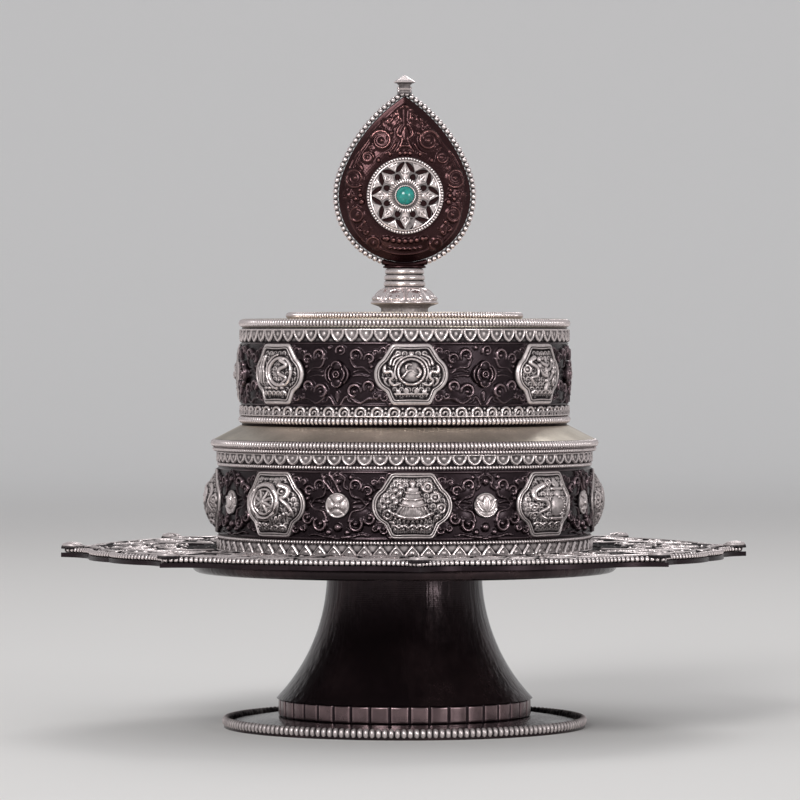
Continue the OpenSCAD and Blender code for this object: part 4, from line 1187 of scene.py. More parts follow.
def said(name, description, default, low, high):
    """What every setting says."""
    return {"name": name, "description": description, "default": default, "min": low, "max": high}


def colour(name, description, default):
    """Colour setting."""
    return FloatVectorProperty(subtype="COLOR", **said(name, description, default, 0, 1))


def length(name, description, default, low, high):
    """Setting in metres."""
    return FloatProperty(unit="LENGTH", **said(name, description, default, low, high))


def bead(name, description, default):
    """Spacing of beads, given in millimetres."""
    return length(name, "Spacing of the beads " + description, default * MM, 0.8 * MM, 5 * MM)


def amount(name, description, default, low, high):
    """Setting that counts."""
    return IntProperty(**said(name, description, default, low, high))


def power(name, description, default):
    """Setting in watts."""
    return FloatProperty(unit="POWER", **said(name, description, default, 0, 100))


class MandalaColours(PropertyGroup):
    """Colours of the metals and of the stone."""

    # The silver and copper colours run from hollow to ridge along the mesh's wear, so the recess and ground
    # colours also stand for painted shade and the high and ridge colours for painted highlights
    silver_high_and_highlight: colour("Silver, high spots", "Silver that hands have rubbed bright", (0.9, 0.8, 0.79))
    silver_recess_and_shade: colour("Silver, recesses", "Oxidised silver", (0.014, 0.0105, 0.012))
    wall_ridge_and_highlight: colour("Drum copper, ridges", "Ridges of the chased drums", (0.31, 0.222, 0.24))
    wall_ground_and_shade: colour("Drum copper, ground", "Ground of the chased drums", (0.018, 0.0098, 0.0128))
    leaf_ridge_and_highlight: colour("Leaf copper, ridges", "Ridges of the chased leaf", (0.25, 0.115, 0.11))
    leaf_ground_and_shade: colour("Leaf copper, ground", "Ground of the chased leaf", (0.034, 0.0115, 0.0125))
    collar_ridge_and_highlight: colour("Collar copper", "Panels of the foot's collar", (0.46, 0.32, 0.33))
    black_ground: colour("Black copper", "Blackened copper of the stand", (0.024, 0.0155, 0.0175))
    black_patch: colour("Black copper, patches", "Brown patches of the stand", (0.055, 0.034, 0.036))
    satin_clear: colour("Satin silver", "Plain rings and decks", (0.66, 0.59, 0.5))
    satin_dull: colour("Satin silver, dull", "Dull patches of the rings and decks", (0.42, 0.37, 0.31))
    copper_clean: colour("Plain copper", "Hidden copper parts", (0.56, 0.27, 0.16))
    copper_brown: colour("Plain copper, browned", "Browned patches of the hidden parts", (0.2, 0.1, 0.065))
    stone_pale: colour("Turquoise", "Pale parts of the stone", (0.022, 0.33, 0.285))
    stone_deep: colour("Turquoise, deep", "Deep parts of the stone", (0.006, 0.17, 0.15))
    stone_vein: colour("Matrix", "Web of matrix in the stone", (0.03, 0.022, 0.015))


class MandalaOrnament(PropertyGroup):
    """Sizes and counts of the ornament."""

    foot_bead: bead("Foot bead", "round the foot", 2.45)
    tray_bead: bead("Tray bead", "along the tray's edge", 2.0)
    rim_bead: bead("Rim bead", "on the tiers' rims", 1.55)
    base_bead: bead("Base bead", "at the upper tier's base", 1.9)
    fine_bead: bead("Fine bead", "on the fine wires", 1.35)
    leaf_bead: bead("Leaf bead", "round the leaf", 2.2)
    lower_lappets: amount("Lower lappets", "Lappets round the lower tier", 76, 40, 120)
    upper_lappets: amount("Upper lappets", "Lappets round the upper tier", 70, 40, 120)
    upper_arches: amount("Upper arches", "Arches round the foot of the upper tier", 62, 40, 120)
    collar_panels: amount("Collar panels", "Panels round the foot's collar", 40, 24, 48)


class MandalaStage(PropertyGroup):
    """Camera and light."""

    distance: length("Distance", "Distance from the camera to the axis", 2.0, 1, 4)
    height: length("Camera height", "Height of the camera above the floor", 0.1546, 0, 1)
    turn: FloatProperty(
        name="Turn",
        description="Turn of the camera from the front",
        default=math.radians(-2.3),
        subtype="ANGLE",
    )
    aim_level: length("Aim", "Level on the axis at the middle of the picture", 0.1306, 0, 0.3)
    aim_side: length("Aim aside", "How far left of the axis the camera looks", 0.0018, -0.1, 0.1)
    lens: FloatProperty(name="Lens", description="Focal length", default=225, min=35, max=400, unit="CAMERA")
    # Painted light: the far sweep is paler than the floor near the plate, to make up for the lamps lighting
    # it less
    floor: colour("Floor", "Colour of the floor near the plate", (0.8, 0.785, 0.77))
    lightened_backdrop: colour("Backdrop", "Colour of the floor's far sweep", (0.97, 0.965, 0.96))
    key_power: power("Key lamp", "Power of the lamp at the upper left", 16.5)
    fill_power: power("Fill lamp", "Power of the lamp at the right", 5.8)
    back_power: power("Back lamp", "Power of the lamp behind", 4.5)


class MandalaSettings(PropertyGroup):
    """All settings of the offering plate."""

    colours: PointerProperty(type=MandalaColours)
    ornament: PointerProperty(type=MandalaOrnament)
    stage: PointerProperty(type=MandalaStage)


# Operators, each after the functions that make its pieces


class MANDALA_OT_finishes(Operator):
    """Make the finishes and give them to the CAD nodes that stay in sight"""

    bl_idname = "mandala.finishes"
    bl_label = "Finishes"

    def execute(self, context):
        colours = context.scene.mandala.colours
        chased_silver("chased silver", colours)
        dark_copper("drum copper", colours.wall_ground_and_shade, colours.wall_ridge_and_highlight)
        dark_copper("leaf copper", colours.leaf_ground_and_shade, colours.leaf_ridge_and_highlight, 0.26)
        dark_copper("collar copper", colours.wall_ground_and_shade, colours.collar_ridge_and_highlight)
        smooth_dark = dark_copper("smooth copper", colours.wall_ground_and_shade, colours.wall_ridge_and_highlight, raised=0.35)
        black = black_copper("black copper", colours)
        satin = satin_silver("satin silver", colours)
        copper = plain_copper("plain copper", colours)
        stone = turquoise("turquoise stone", colours)
        dress(black, "foot_disc", "stem", "pan")
        dress(smooth_dark, "petal_plate", "leaf_plate", "lower_cornice")
        dress(satin, "lower_shoulder", "upper_deck", "top_disc")
        dress(copper, "stem_plug", "pan_rivet", "rivet_burr")
        dress(copper, "plate_register", "finial_socket", "finial_peg")
        dress(stone, "turquoises")
        return {"FINISHED"}


def make_foot_rim(pitch):
    """Tall beads that hang a little below the plain wire they stand for."""
    rim_r, low, high = extent("foot_rim_wire")
    wire_r = (high - low) / 2
    tall = wire_r + 0.35
    shell = Shell()
    shell.beaded_ring(rim_r - wire_r, high - tall, wire_r, pitch, tall, fine=(14, 9), shine=0.7)
    shell.piece("foot_rim_beads", "stand", SILVER, "foot_rim_wire")


def make_collar(count):
    """Upright panels, bright at their sides as rubbing and painted highlight, dark between them and at both
    ends as patina and painted shade.
    """
    collar_r, low, high = extent("panel_collar")
    per, rows, relief, thick = 24, 24, 0.82, 3
    tall = high - low
    pitch = TAU * collar_r / count
    x = columns(per, pitch)
    levels = np.linspace(0, tall, rows)
    beside = pitch / 2 - np.abs(x)
    ends = np.interp(np.minimum(levels, tall - levels), [0, 0.3, 0.75], [0.25, 0.55, 1])[:, None]
    panel = np.interp(beside, [0, 0.3, 0.6], [0, 0.1, 0.55]) + 0.25 * np.cos(np.pi * x / pitch)
    wear_and_painted_light = np.interp(beside, [0, 0.35, 0.75, 1.4], [0, 0.05, 0.85, 0.62])
    turn = repeat_angles(count, per, TAU / count / 2)
    shell = Shell()
    shell.ring(turn, low + levels, panel * ends, wear_and_painted_light * ends, collar_r - relief, collar_r - thick)
    shell.piece("panel_collar_skin", "stand", COLLAR, "panel_collar")


class MANDALA_OT_foot(Operator):
    """Beaded rim of the foot and the panelled collar under the stem"""

    bl_idname = "mandala.foot"
    bl_label = "Foot rim and collar"

    def execute(self, context):
        ornament = context.scene.mandala.ornament
        make_foot_rim(ornament.foot_bead / MM)
        make_collar(ornament.collar_panels)
        return {"FINISHED"}


def make_overlay(tip_r):
    """Chased sheet from the register ring to the edge wire, flat where the lower tier stands on it."""
    tier_r, seat = extent("lower_wall")[:2]
    hole_r = extent("plate_register")[0] + 0.05
    bottom = extent("petal_edge_wire")[1]
    per, rows, edge_points, root_petals = 124, 92, 90, 7
    line_inset, flat_width, root_width = 5.6, 3.4, 8.5
    step = TAU / PETALS
    root = tier_r + root_width
    off = columns(per, step)
    outer = tray_edge(off, TRAY_WIRE + 0.1, tip_r)
    reach = hole_r + (outer - hole_r) * np.linspace(1, 0, rows)[:, None]
    chase = Relief(reach * np.sin(off), reach * np.cos(off))
    rim = np.linspace(-step / 2, step / 2, edge_points)
    inset = tray_edge(rim, line_inset, tip_r)
    tray_root(chase, root_petals, root)
    petal = Relief(chase.x, chase.y - root, chase.height)
    tray_field(petal, np.column_stack([inset * np.sin(rim), inset * np.cos(rim) - root]))
    chase.stipple(1.6, 0.3)
    seam = np.abs(np.abs(off) - step / 2) * reach
    vein = np.interp(seam, [0, 0.5, 1.4, 2.0], [1.7, 1.6, 0.5, 0])
    chase.spread(vein * (reach > root))
    clear = np.clip((reach - tier_r - flat_width) / 0.8, 0, 1)
    swell = np.sin(np.pi * np.clip((reach - root) / (outer - root), 0, 1)) * np.cos(off * PETALS / 2)
    heights = (chase.height + 0.5 * swell) * clear
    ends = ((1, 1), (0, 0))
    radii = np.vstack([outer, reach, np.full(per, hole_r)])
    levels = np.pad(seat + heights, ends, constant_values=bottom)
    # The open ground of the tray is set darker than on the other skins: painted shade of a deeper relief
    wear_and_painted_light = np.pad(rubbed_with_painted_light(heights, -0.36, 1.7, 14), ends)
    radii, levels, wear_and_painted_light = (np.tile(part, PETALS) for part in (radii, levels, wear_and_painted_light))
    shell = Shell()
    shell.add(revolve(radii, repeat_angles(PETALS, per, 0), levels), wear_and_painted_light, lattice(*radii.shape))
    shell.piece("petal_overlay_chased", "tray", SILVER, "petal_overlay")


def make_tray_wire(tip_r, pitch):
    """Beads strung evenly along the edge, over a core wire."""
    low, high = extent("petal_edge_wire")[1:]
    half_w, half_h = TRAY_WIRE / 2, (high - low) / 2
    turns = np.linspace(0, TAU, 4001)
    path = polar(tray_edge(turns, half_w + 0.03, tip_r), turns + FRONT)
    spots, spacing = strung(path, pitch)
    count = len(spots)
    along = np.column_stack([unit(np.roll(spots, -1, 0) - np.roll(spots, 1, 0)), np.zeros(count)])
    up = np.tile([0.0, 0.0, 1.0], (count, 1))
    out = np.cross(along, up)
    centres = np.column_stack([spots, np.full(count, (low + high) / 2)])
    shell = Shell()
    shell.beads(centres, along, out, up, (spacing * 0.53, half_w, half_h), fine=(12, 8))
    shell.tube(centres, out, up, half_w * 0.7, half_h * 0.8, CORE_SHADE)
    shell.piece("petal_edge_beads", "tray", SILVER, "petal_edge_wire")


def make_tips(tip_r):
    """A low ribbed hood over each petal's tip, with a rolled lip."""
    low, high = extent("petal_tips")[1:]
    long, half, rib, sink = 4.9, 4.1, 1.85, 0.6
    turns = around(80)
    edge = long * half / np.hypot(long * np.cos(turns), half * np.sin(turns))
    shares = np.concatenate([np.linspace(1, 0.78, 8), np.linspace(0.72, 0.04, 15)])

    def lift(x, y, inset):
        share = np.clip(1 - (x / half) ** 2 - (y / long) ** 2, 0, 1)
        dome = 2.2 * np.sqrt(share) * (0.82 + 0.18 * y / long)
        lip = 0.6 * np.exp(-(((inset - 0.75) / 0.38) ** 2)) * np.clip((y + 3) / 2, 0.2, 1)
        flute = 0.34 * np.cos(x * TAU / rib) * np.clip((inset - 1.1) / 0.7, 0, 1)
        height = np.minimum(low - 0.15 + dome + lip + flute, high - 0.04)
        # Bright on the rolled lip and the flutes, as rubbing and painted highlight, and darker at the rim
        # under the lip, as painted shade
        return height, np.clip(0.42 + 0.9 * lip + 1.2 * flute - 0.3 * (inset < 0.2), 0, 1)

    shell = Shell()
    for turn in FRONT + around(PETALS):
        shell.boss(on_tray(turn, tip_r - 0.05 - long), turns, edge, shares, lift, low - sink)
    shell.piece("petal_tip_hoods", "tray", SILVER, "petal_tips")


class MANDALA_OT_tray(Operator):
    """Chased petals of the tray, its beaded edge and the hoods over its tips"""

    bl_idname = "mandala.tray"
    bl_label = "Petal tray"

    def execute(self, context):
        tip_r = extent("petal_plate")[0]
        make_overlay(tip_r)
        make_tray_wire(tip_r, context.scene.mandala.ornament.tray_bead / MM)
        make_tips(tip_r)
        return {"FINISHED"}


def make_wall(node, body, fields, medallion, half):
    """Wall with a field between each two medallions, chased as far as half above and below their middle."""
    wall_r, low, high = extent(node)
    med_low, med_high = extent(medallion)[1:]
    middle = (med_low + med_high) / 2
    per, rows, thick = 152, 72, 1.5
    step = TAU / len(fields)
    x = columns(per, step * wall_r)
    levels = np.concatenate([[low], np.linspace(middle - half, middle + half, rows), [high]])
    heights = []
    for draw in fields:
        chase = Relief(x, levels[:, None] - middle)
        draw(chase)
        chase.height[[0, -1]] = 0
        heights.append(chase.height)
    heights = np.hstack(heights)
    wear_and_painted_light = rubbed_with_painted_light(heights, 0.26, 0.8, 24)
    turn = repeat_angles(len(fields), per, step / 2)
    shell = Shell()
    shell.ring(turn, levels, heights, wear_and_painted_light, wall_r, wall_r - thick)
    shell.piece(node + "_chased", body, DRUM, node)


class MANDALA_OT_walls(Operator):
    """Chased walls of the two drums"""

    bl_idname = "mandala.walls"
    bl_label = "Drum walls"

    def execute(self, context):
        lower_fields, upper_fields = [lower_field, ribbon_field] * 4, [upper_field] * 7
        make_wall("lower_wall", "lower_tier", lower_fields, "medallion_parasol", 13.6)
        make_wall("upper_wall", "upper_tier", upper_fields, "emblem_jewel", 12.4)
        return {"FINISHED"}


def make_strip(node, body, count, ground, draw, *form):
    """Strip of count tongues or arches of one form, with the wear of its open ground."""
    outer, low, high = extent(node)
    per, rows, relief, sunk = 16, 20, 1.0, 0.03
    wall_r = outer - relief
    tall = high - low
    pitch = TAU * outer / count
    levels = np.linspace(0, tall, rows)
    chase = Relief(columns(per, pitch), levels[:, None])
    draw(chase, pitch, tall, *form)
    wear_and_painted_light = rubbed_with_painted_light(chase.height, ground, 1.25, 16)
    turn = repeat_angles(count, per, 0)
    shell = Shell()
    shell.ring(turn, low + levels, chase.height, wear_and_painted_light, wall_r + OFF_WALL, wall_r - sunk)
    shell.piece(node + "_chased", body, SILVER, node)


def make_wire(node, body, pitch, shine=1.0):
    """Beaded wire in the place of a plain one."""
    outer, low, high = extent(node)
    wire_r = (high - low) / 2
    shell = Shell()
    shell.beaded_ring(outer - wire_r, (low + high) / 2, wire_r, pitch, shine=shine)
    shell.piece(node + "_beads", body, SILVER, node)


def make_fine_wires(pitch):
    """Fine beaded wires over the lower drum's base strip, under its top strip and round its cornice."""
    wall_r = extent("lower_wall")[0]
    base_top = extent("lower_base_strip")[2]
    strip_low = extent("lower_top_strip")[1]
    cornice_r, cornice_low = extent("lower_cornice")[:2]
    wire_r = extent("lower_fine_wires")[0] - cornice_r
    shell = Shell()
    spots = ((wall_r, base_top + wire_r), (wall_r, strip_low - wire_r), (cornice_r, cornice_low + wire_r))
    for radius, level in spots:
        shell.beaded_ring(radius, level, wire_r, pitch, fine=(8, 6))
    shell.piece("lower_fine_beads", "lower_tier", SILVER, "lower_fine_wires")


class MANDALA_OT_strips(Operator):
    """Lappet strips and beaded wires of the two drums and the top cap"""

    bl_idname = "mandala.strips"
    bl_label = "Lappets and wires"

    def execute(self, context):
        ornament = context.scene.mandala.ornament
        lower, upper, arches = ornament.lower_lappets, ornament.upper_lappets, ornament.upper_arches
        make_strip("lower_base_strip", "lower_tier", lower, 0.54, lappet, 1.15, 0.85, True)
        make_strip("lower_top_strip", "lower_tier", lower, 0.42, lappet, 2.2, 0.5, False)
        make_strip("upper_base_strip", "upper_tier", arches, 0.32, arch)
        make_strip("upper_top_strip", "upper_tier", upper, 0.42, lappet, 2.0, 0.62, False)
        make_wire("lower_rim_wire", "lower_tier", ornament.rim_bead / MM)
        make_wire("upper_rim_wire", "upper_tier", ornament.rim_bead / MM)
        make_wire("upper_base_wire", "upper_tier", ornament.base_bead / MM)
        make_wire("top_wire", "top_cap", ornament.fine_bead / MM, 1.5)
        make_fine_wires(ornament.fine_bead / MM)
        return {"FINISHED"}


LOWER_SIGNS = (
    ("medallion_parasol", parasol),
    ("medallion_vase", vase),
    ("medallion_lotus", lotus),
    ("medallion_knot", knot),
    ("medallion_fish", fish),
    ("medallion_banner", banner),
    ("medallion_conch", conch),
    ("medallion_wheel", wheel_sign),
)
UPPER_SIGNS = (
    ("emblem_jewel", jewel),
    ("emblem_coral", coral),
    ("emblem_tusks", tusks),
    ("emblem_horn", horn),
    ("emblem_earrings", earrings),
    ("emblem_gems", gems),
    ("emblem_disc", crescent),
)
# Each border: distances from the edge, heights over the wall and wear with painted light (dark in the
# grooves as painted shade, bright on the ridges as rubbing and painted highlight), then the wear of the
# field in it
LOWER_BORDER = (
    [0, 0.3, 0.7, 1.0, 1.4, 1.9],
    [0.7, 1.7, 1.6, 1.1, 1.9, 1.2],
    [0.1, 0.8, 0.6, 0.02, 0.9, 0.0],
    0.47,
)
UPPER_BORDER = (
    [0, 0.3, 1.2, 1.6, 1.9, 2.5],
    [0.7, 1.5, 1.9, 1.4, 2.4, 1.1],
    [0.1, 0.7, 0.58, 0.02, 0.85, 0.0],
    0.38,
)


def make_medallions(signs, body, wall, border):
    """The medallions of one tier, evenly spaced from the front."""
    wall_r = extent(wall)[0]
    low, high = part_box(signs[0][0])
    width, tall = (high.x - low.x) / MM, (high.z - low.z) / MM
    level = (high.z + low.z) / 2 / MM
    sign_high = 1.9
    crown = -low.y / MM - wall_r - sign_high
    insets, border_heights, border_wear_and_light, field_wear = border
    turns = around(216)
    edge = cartouche(turns, width, tall)
    shares = np.concatenate([np.linspace(1, 0.78, 16), np.linspace(0.765, 0.02, 42)])

    def chased(draw):
        def lift(x, y, inset):
            chase = Relief(x, y)
            draw(chase)
            cloud_ground(chase, width / 2, tall / 2, 2.5)
            chase.stipple(1.0, 0.12)
            within = inset - insets[-1]
            share = np.clip(within / (edge.min() - insets[-1]), 0, 1)
            dome = border_heights[-1] + (crown - border_heights[-1]) * np.sin(share * np.pi / 2) ** 0.85
            field = dome + chase.height * np.clip(within / 0.7, 0, 1)
            # The field darkens towards its border: painted shade under the border's ridge
            worn_with_painted_light = rubbed_with_painted_light(chase.height, field_wear, 1.2, 24) * np.clip(within / 0.9, 0, 1)
            height = np.where(within < 0, np.interp(inset, insets, border_heights), field)
            return height, np.where(within < 0, np.interp(inset, insets, border_wear_and_light), worn_with_painted_light)

        return lift

    for turn, (node, draw) in zip(FRONT + around(len(signs)), signs):
        shell = Shell()
        shell.boss(on_wall(wall_r, turn, level), turns, edge, shares, chased(draw), OFF_WALL)
        shell.piece(node + "_chased", body, SILVER, node)


class MANDALA_OT_medallions(Operator):
    """Medallions with the eight auspicious signs and the seven royal emblems"""

    bl_idname = "mandala.medallions"
    bl_label = "Medallions"

    def execute(self, context):
        make_medallions(LOWER_SIGNS, "lower_tier", "lower_wall", LOWER_BORDER)
        make_medallions(UPPER_SIGNS, "upper_tier", "upper_wall", UPPER_BORDER)
        return {"FINISHED"}


def rosette_skin(draw):
    """Skin of a silver rosette with a rolled rim."""

    def lift(x, y, inset):
        chase = Relief(x, y)
        draw(chase)
        base = np.interp(inset, [0, 0.25, 0.6, 1.0, 5.0], [0.5, 1.05, 1.0, 0.7, 1.3])
        # Darkest at the rim where the rosette meets the wall: painted shade
        wear_and_painted_light = rubbed_with_painted_light(chase.height, 0.64, 1.1, 16) - 0.4 * (inset < 0.1)
        return base + chase.height, np.clip(wear_and_painted_light, 0, 1)

    return lift


def flower_skin(x, y, inset):
    """Skin of a dark flower."""
    chase = Relief(x, y)
    dark_flower(chase)
    base = np.interp(inset, [0, 0.4, 1.0], [0.1, 0.6, 0.7])
    return base + chase.height, rubbed_with_painted_light(chase.height, 0.34, 0.9, 14)


def make_bosses(node, body, wall, look, skins, turns, edge):
    """Bosses half-way between the medallions of one tier."""
    wall_r = extent(wall)[0]
    low, high = extent(node)[1:]
    shares = np.concatenate([np.linspace(1, 0.84, 6), np.linspace(0.8, 0.04, 24)])
    shell = Shell()
    for turn, lift in zip(FRONT + around(len(skins)) + TAU / len(skins) / 2, skins):
        shell.boss(on_wall(wall_r, turn, (low + high) / 2), turns, edge, shares, lift, OFF_WALL)
    shell.piece(node + "_chased", body, look, node)


class MANDALA_OT_rosettes(Operator):
    """Silver rosettes on the lower drum and dark flowers on the upper one"""

    bl_idname = "mandala.rosettes"
    bl_label = "Rosettes and flowers"

    def execute(self, context):
        turns = around(96)
        low, high = extent("lower_rosettes")[1:]
        rosettes = (rosette_skin(lotus_rosette), rosette_skin(cross_rosette)) * 4
        rosette_edge = np.full(turns.shape, (high - low) / 2)
        make_bosses("lower_rosettes", "lower_tier", "lower_wall", SILVER, rosettes, turns, rosette_edge)
        flowers = (flower_skin,) * 7
        flower_edge = 5.15 + 0.4 * np.cos(4 * turns)
        make_bosses("upper_flowers", "upper_tier", "upper_wall", DRUM, flowers, turns, flower_edge)
        return {"FINISHED"}


def make_lotus_base():
    """Petals with raised outlines over a wavy hem."""
    reach, low, high = extent("lotus_base")
    count, per, rows = 8, 44, 60
    # The petals point between the axes, so the box does not reach their tips
    lobe = 4.1
    outer = (reach - lobe) / math.cos(math.pi / count) + lobe
    tall = high - low
    neck_r = extent("neck_rings")[0] - 0.6
    foot_r, hem = 9.4, outer - 0.4
    u = columns(per, 2)
    rise = np.linspace(0, 1, rows)[:, None]
    steps = [0, 0.16, 0.24, 0.3, 0.34, 0.38, 0.42, 0.47, 0.62, 0.78, 0.92, 1.0]
    flare = [hem - 1.2, hem - 0.2, hem, hem - 0.2, hem - 1.2, hem - 2.0, hem - 3.2]
    profile = np.interp(rise, steps, [foot_r, foot_r, foot_r + 1.0, *flare, neck_r + 1.2, neck_r])
    wave = 0.38 * (1 - u**2) * np.interp(rise, [0.26, 0.36, 0.42, 0.5], [0, 1, 1, 0])
    bulge = (1 - np.abs(u) ** 2.6) * np.interp(rise, [0.44, 0.54, 0.74, 0.97], [0, 1.0, 0.9, 0.1])
    gap = np.exp(-(((np.abs(u) - 1) / 0.075) ** 2))
    gap = gap * np.interp(rise, [0.42, 0.5, 0.9, 0.98], [0, 0.5, 0.5, 0])
    chase = Relief(u * math.pi * (outer - 2) / count, rise * tall)
    outline = (3.5, tall * 0.5), (3.6, tall * 0.66), (2.7, tall * 0.86), (0, tall * 0.93)
    for side in chase.sides():
        side.ball(1.5, tall * 0.57, 0.95, 0.75)
        side.stroke(outline, 0.42, 0.45)
    chase.line(sagging(3.4, tall * 0.485, -0.15), 0.36, 0.35)
    radius = np.minimum(profile + wave + bulge - gap + chase.height, outer - 0.02)
    # Painted light by level: dark under the hem, in the crease above it and under the neck, as painted
    # shade, with painted highlights on the bulges and painted shade in the gaps between petals; the outlines
    # add rubbed wear
    shown = [0.3, 0.335, 0.37, 0.42, 0.46, 0.52, 0.9, 1.0]
    light = np.interp(rise, shown, [0.1, 0.9, 1.0, 0.95, 0.4, 1.0, 1.0, 0.5])
    wear_and_painted_light = light + 1.3 * (rubbed_with_painted_light(chase.height, 0.5, 1.0, 20) - 0.5) + 0.15 * bulge - 1.2 * gap
    turn = repeat_angles(count, per, TAU / count / 2)
    shell = Shell()
    shell.ring(turn, (low + rise * tall).ravel(), radius, np.clip(wear_and_painted_light, 0.42, 1), 0, FINIAL_BORE)
    shell.piece("lotus_base_petals", "finial", SILVER, "lotus_base")


def make_neck():
    """Three rounded rings, dark in the grooves between them as patina and painted shade, bright on their
    crowns as rubbing and painted highlight.
    """
    outer, low, high = extent("neck_rings")
    rows, cols, rings = 49, 112, 3
    rise = np.linspace(0, 1, rows)
    swell = np.abs(np.sin(rise * rings * math.pi)) ** 0.6
    taper = np.interp(rise, [0, 0.35, 0.8, 1], [0, 0.15, 0.55, 0.8])
    radius = outer - 0.02 - taper - 0.95 * (1 - swell)
    wear_and_painted_light = 0.08 + 0.8 * swell**1.5
    shell = Shell()
    shell.ring(around(cols), low + rise * (high - low), radius[:, None], wear_and_painted_light[:, None], 0, FINIAL_BORE)
    shell.piece("neck_rings_turned", "finial", SILVER, "neck_rings")


class MANDALA_OT_lotus(Operator):
    """Lotus base of the finial, with two beads on each petal, and the three rings of its neck"""

    bl_idname = "mandala.lotus"
    bl_label = "Lotus base and neck"

    def execute(self, context):
        make_lotus_base()
        make_neck()
        return {"FINISHED"}


def make_leaf_shells(leaf_r, point, centre, seat_r, dome):
    """Front and back, chased round a plain seat for the wheel."""
    turns = math.pi / 2 + around(330)
    edge = leaf_edge(turns, LEAF_WIRE + 0.05, leaf_r, point)
    shares = np.linspace(1, 0.02, 84)
    loop = math.pi / 2 + np.linspace(0, TAU, 140)
    line = polar(leaf_edge(loop, LEAF_WIRE + 3.0, leaf_r, point), loop)

    def lift(x, y, inset):
        chase = Relief(x, y)
        leaf_field(chase, line)
        rise = np.clip(inset / np.maximum(edge - seat_r, 1), 0, 1)
        fade = np.clip((np.hypot(x, y) - seat_r) / 0.8, 0, 1) * np.clip((inset - 1.2) / 0.8, 0, 1)
        raised = chase.height * fade
        height = LEAF_RIM + dome * np.sin(rise * np.pi / 2) + raised
        # Darker towards the edge, next to and under the beaded wire: painted shade
        return height, rubbed_with_painted_light(raised, 0.3, 0.85, 20) * np.clip(inset / 1.5, 0.1, 1)

    for side, node in ((1, "leaf_front"), (-1, "leaf_back")):
        shell = Shell()
        shell.boss(on_leaf(side, centre), turns, edge, shares, lift, 1.0)
        shell.piece(node + "_chased", "finial", LEAF, node)


def make_leaf_wire(leaf_r, point, centre, half_t, gap, pitch):
    """Beads from one side of the saddle over the point to the other side."""
    turns = np.linspace(FRONT + gap, FRONT + TAU - gap, 3000)
    path = polar(leaf_edge(turns, LEAF_WIRE / 2, leaf_r, point), turns)
    spots, spacing = strung(path, pitch, 0.5)
    x, z = spots.T
    dx, dz = unit(np.gradient(spots, axis=0)).T
    flat = np.zeros(len(spots))
    along = np.column_stack([dx, flat, dz])
    out = np.column_stack([dz, flat, -dx])
    up = np.tile([0.0, 1.0, 0.0], (len(spots), 1))
    centres = np.column_stack([x, flat, centre + z])
    shell = Shell()
    sizes = (spacing * 0.56, LEAF_WIRE / 2, half_t)
    shell.beads(centres, along, out, up, sizes, fine=(14, 8), shine=1.4)
    shell.tube(centres, out, up, LEAF_WIRE * 0.34, half_t * 0.75, CORE_SHADE, closed=False)
    shell.piece("leaf_edge_beads", "finial", SILVER, "leaf_wire")


def make_saddle(leaf_r, centre, half_t, gap):
    """Plain dark rim under the leaf, where the neck carries it, on a low oval pad."""
    samples, cols, wear_and_painted_light = 40, 72, 0.3
    turn = FRONT + np.linspace(-gap, gap, samples)
    out = np.column_stack([np.cos(turn), np.zeros(samples), np.sin(turn)])
    up = np.tile([0.0, 1.0, 0.0], (samples, 1))
    centres = out * (leaf_r - LEAF_WIRE / 2) + (0, 0, centre)
    shell = Shell()
    shell.tube(centres, out, up, LEAF_WIRE / 2, half_t * 1.1, wear_and_painted_light, sides=16, closed=False)
    pad, neck_top = (8.6, 5.6, 1), extent("neck_rings")[2]
    profile = (0.9, 0), (1.0, 0.25), (1.0, 0.7), (0.93, 1.1), (0.6, 1.5)
    rounds = [revolve(share, around(cols), neck_top + level) * pad for share, level in profile]
    shell.stack(np.array(rounds), np.full(len(rounds), wear_and_painted_light))
    shell.piece("leaf_saddle", "finial", LEAF)


class MANDALA_OT_leaf(Operator):
    """Chased shells of the leaf, its beaded edge and the saddle under it"""

    bl_idname = "mandala.leaf"
    bl_label = "Leaf"

    def execute(self, context):
        wire_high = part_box("leaf_wire")[1]
        wheel_low, wheel_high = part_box("wheel_front")
        leaf_r, half_t = wire_high.x / MM, wire_high.y / MM
        centre = (wheel_low.z + wheel_high.z) / 2 / MM
        point = wire_high.z / MM - centre
        seat_r, dome = wheel_high.x / MM + 0.4, -wheel_high.y / MM - LEAF_RIM
        saddle_half = 9.2
        gap = math.asin(saddle_half / leaf_r)
        make_leaf_shells(leaf_r, point, centre, seat_r, dome)
        make_leaf_wire(leaf_r, point, centre, half_t, gap, context.scene.mandala.ornament.leaf_bead / MM)
        make_saddle(leaf_r, centre, half_t, gap)
        return {"FINISHED"}


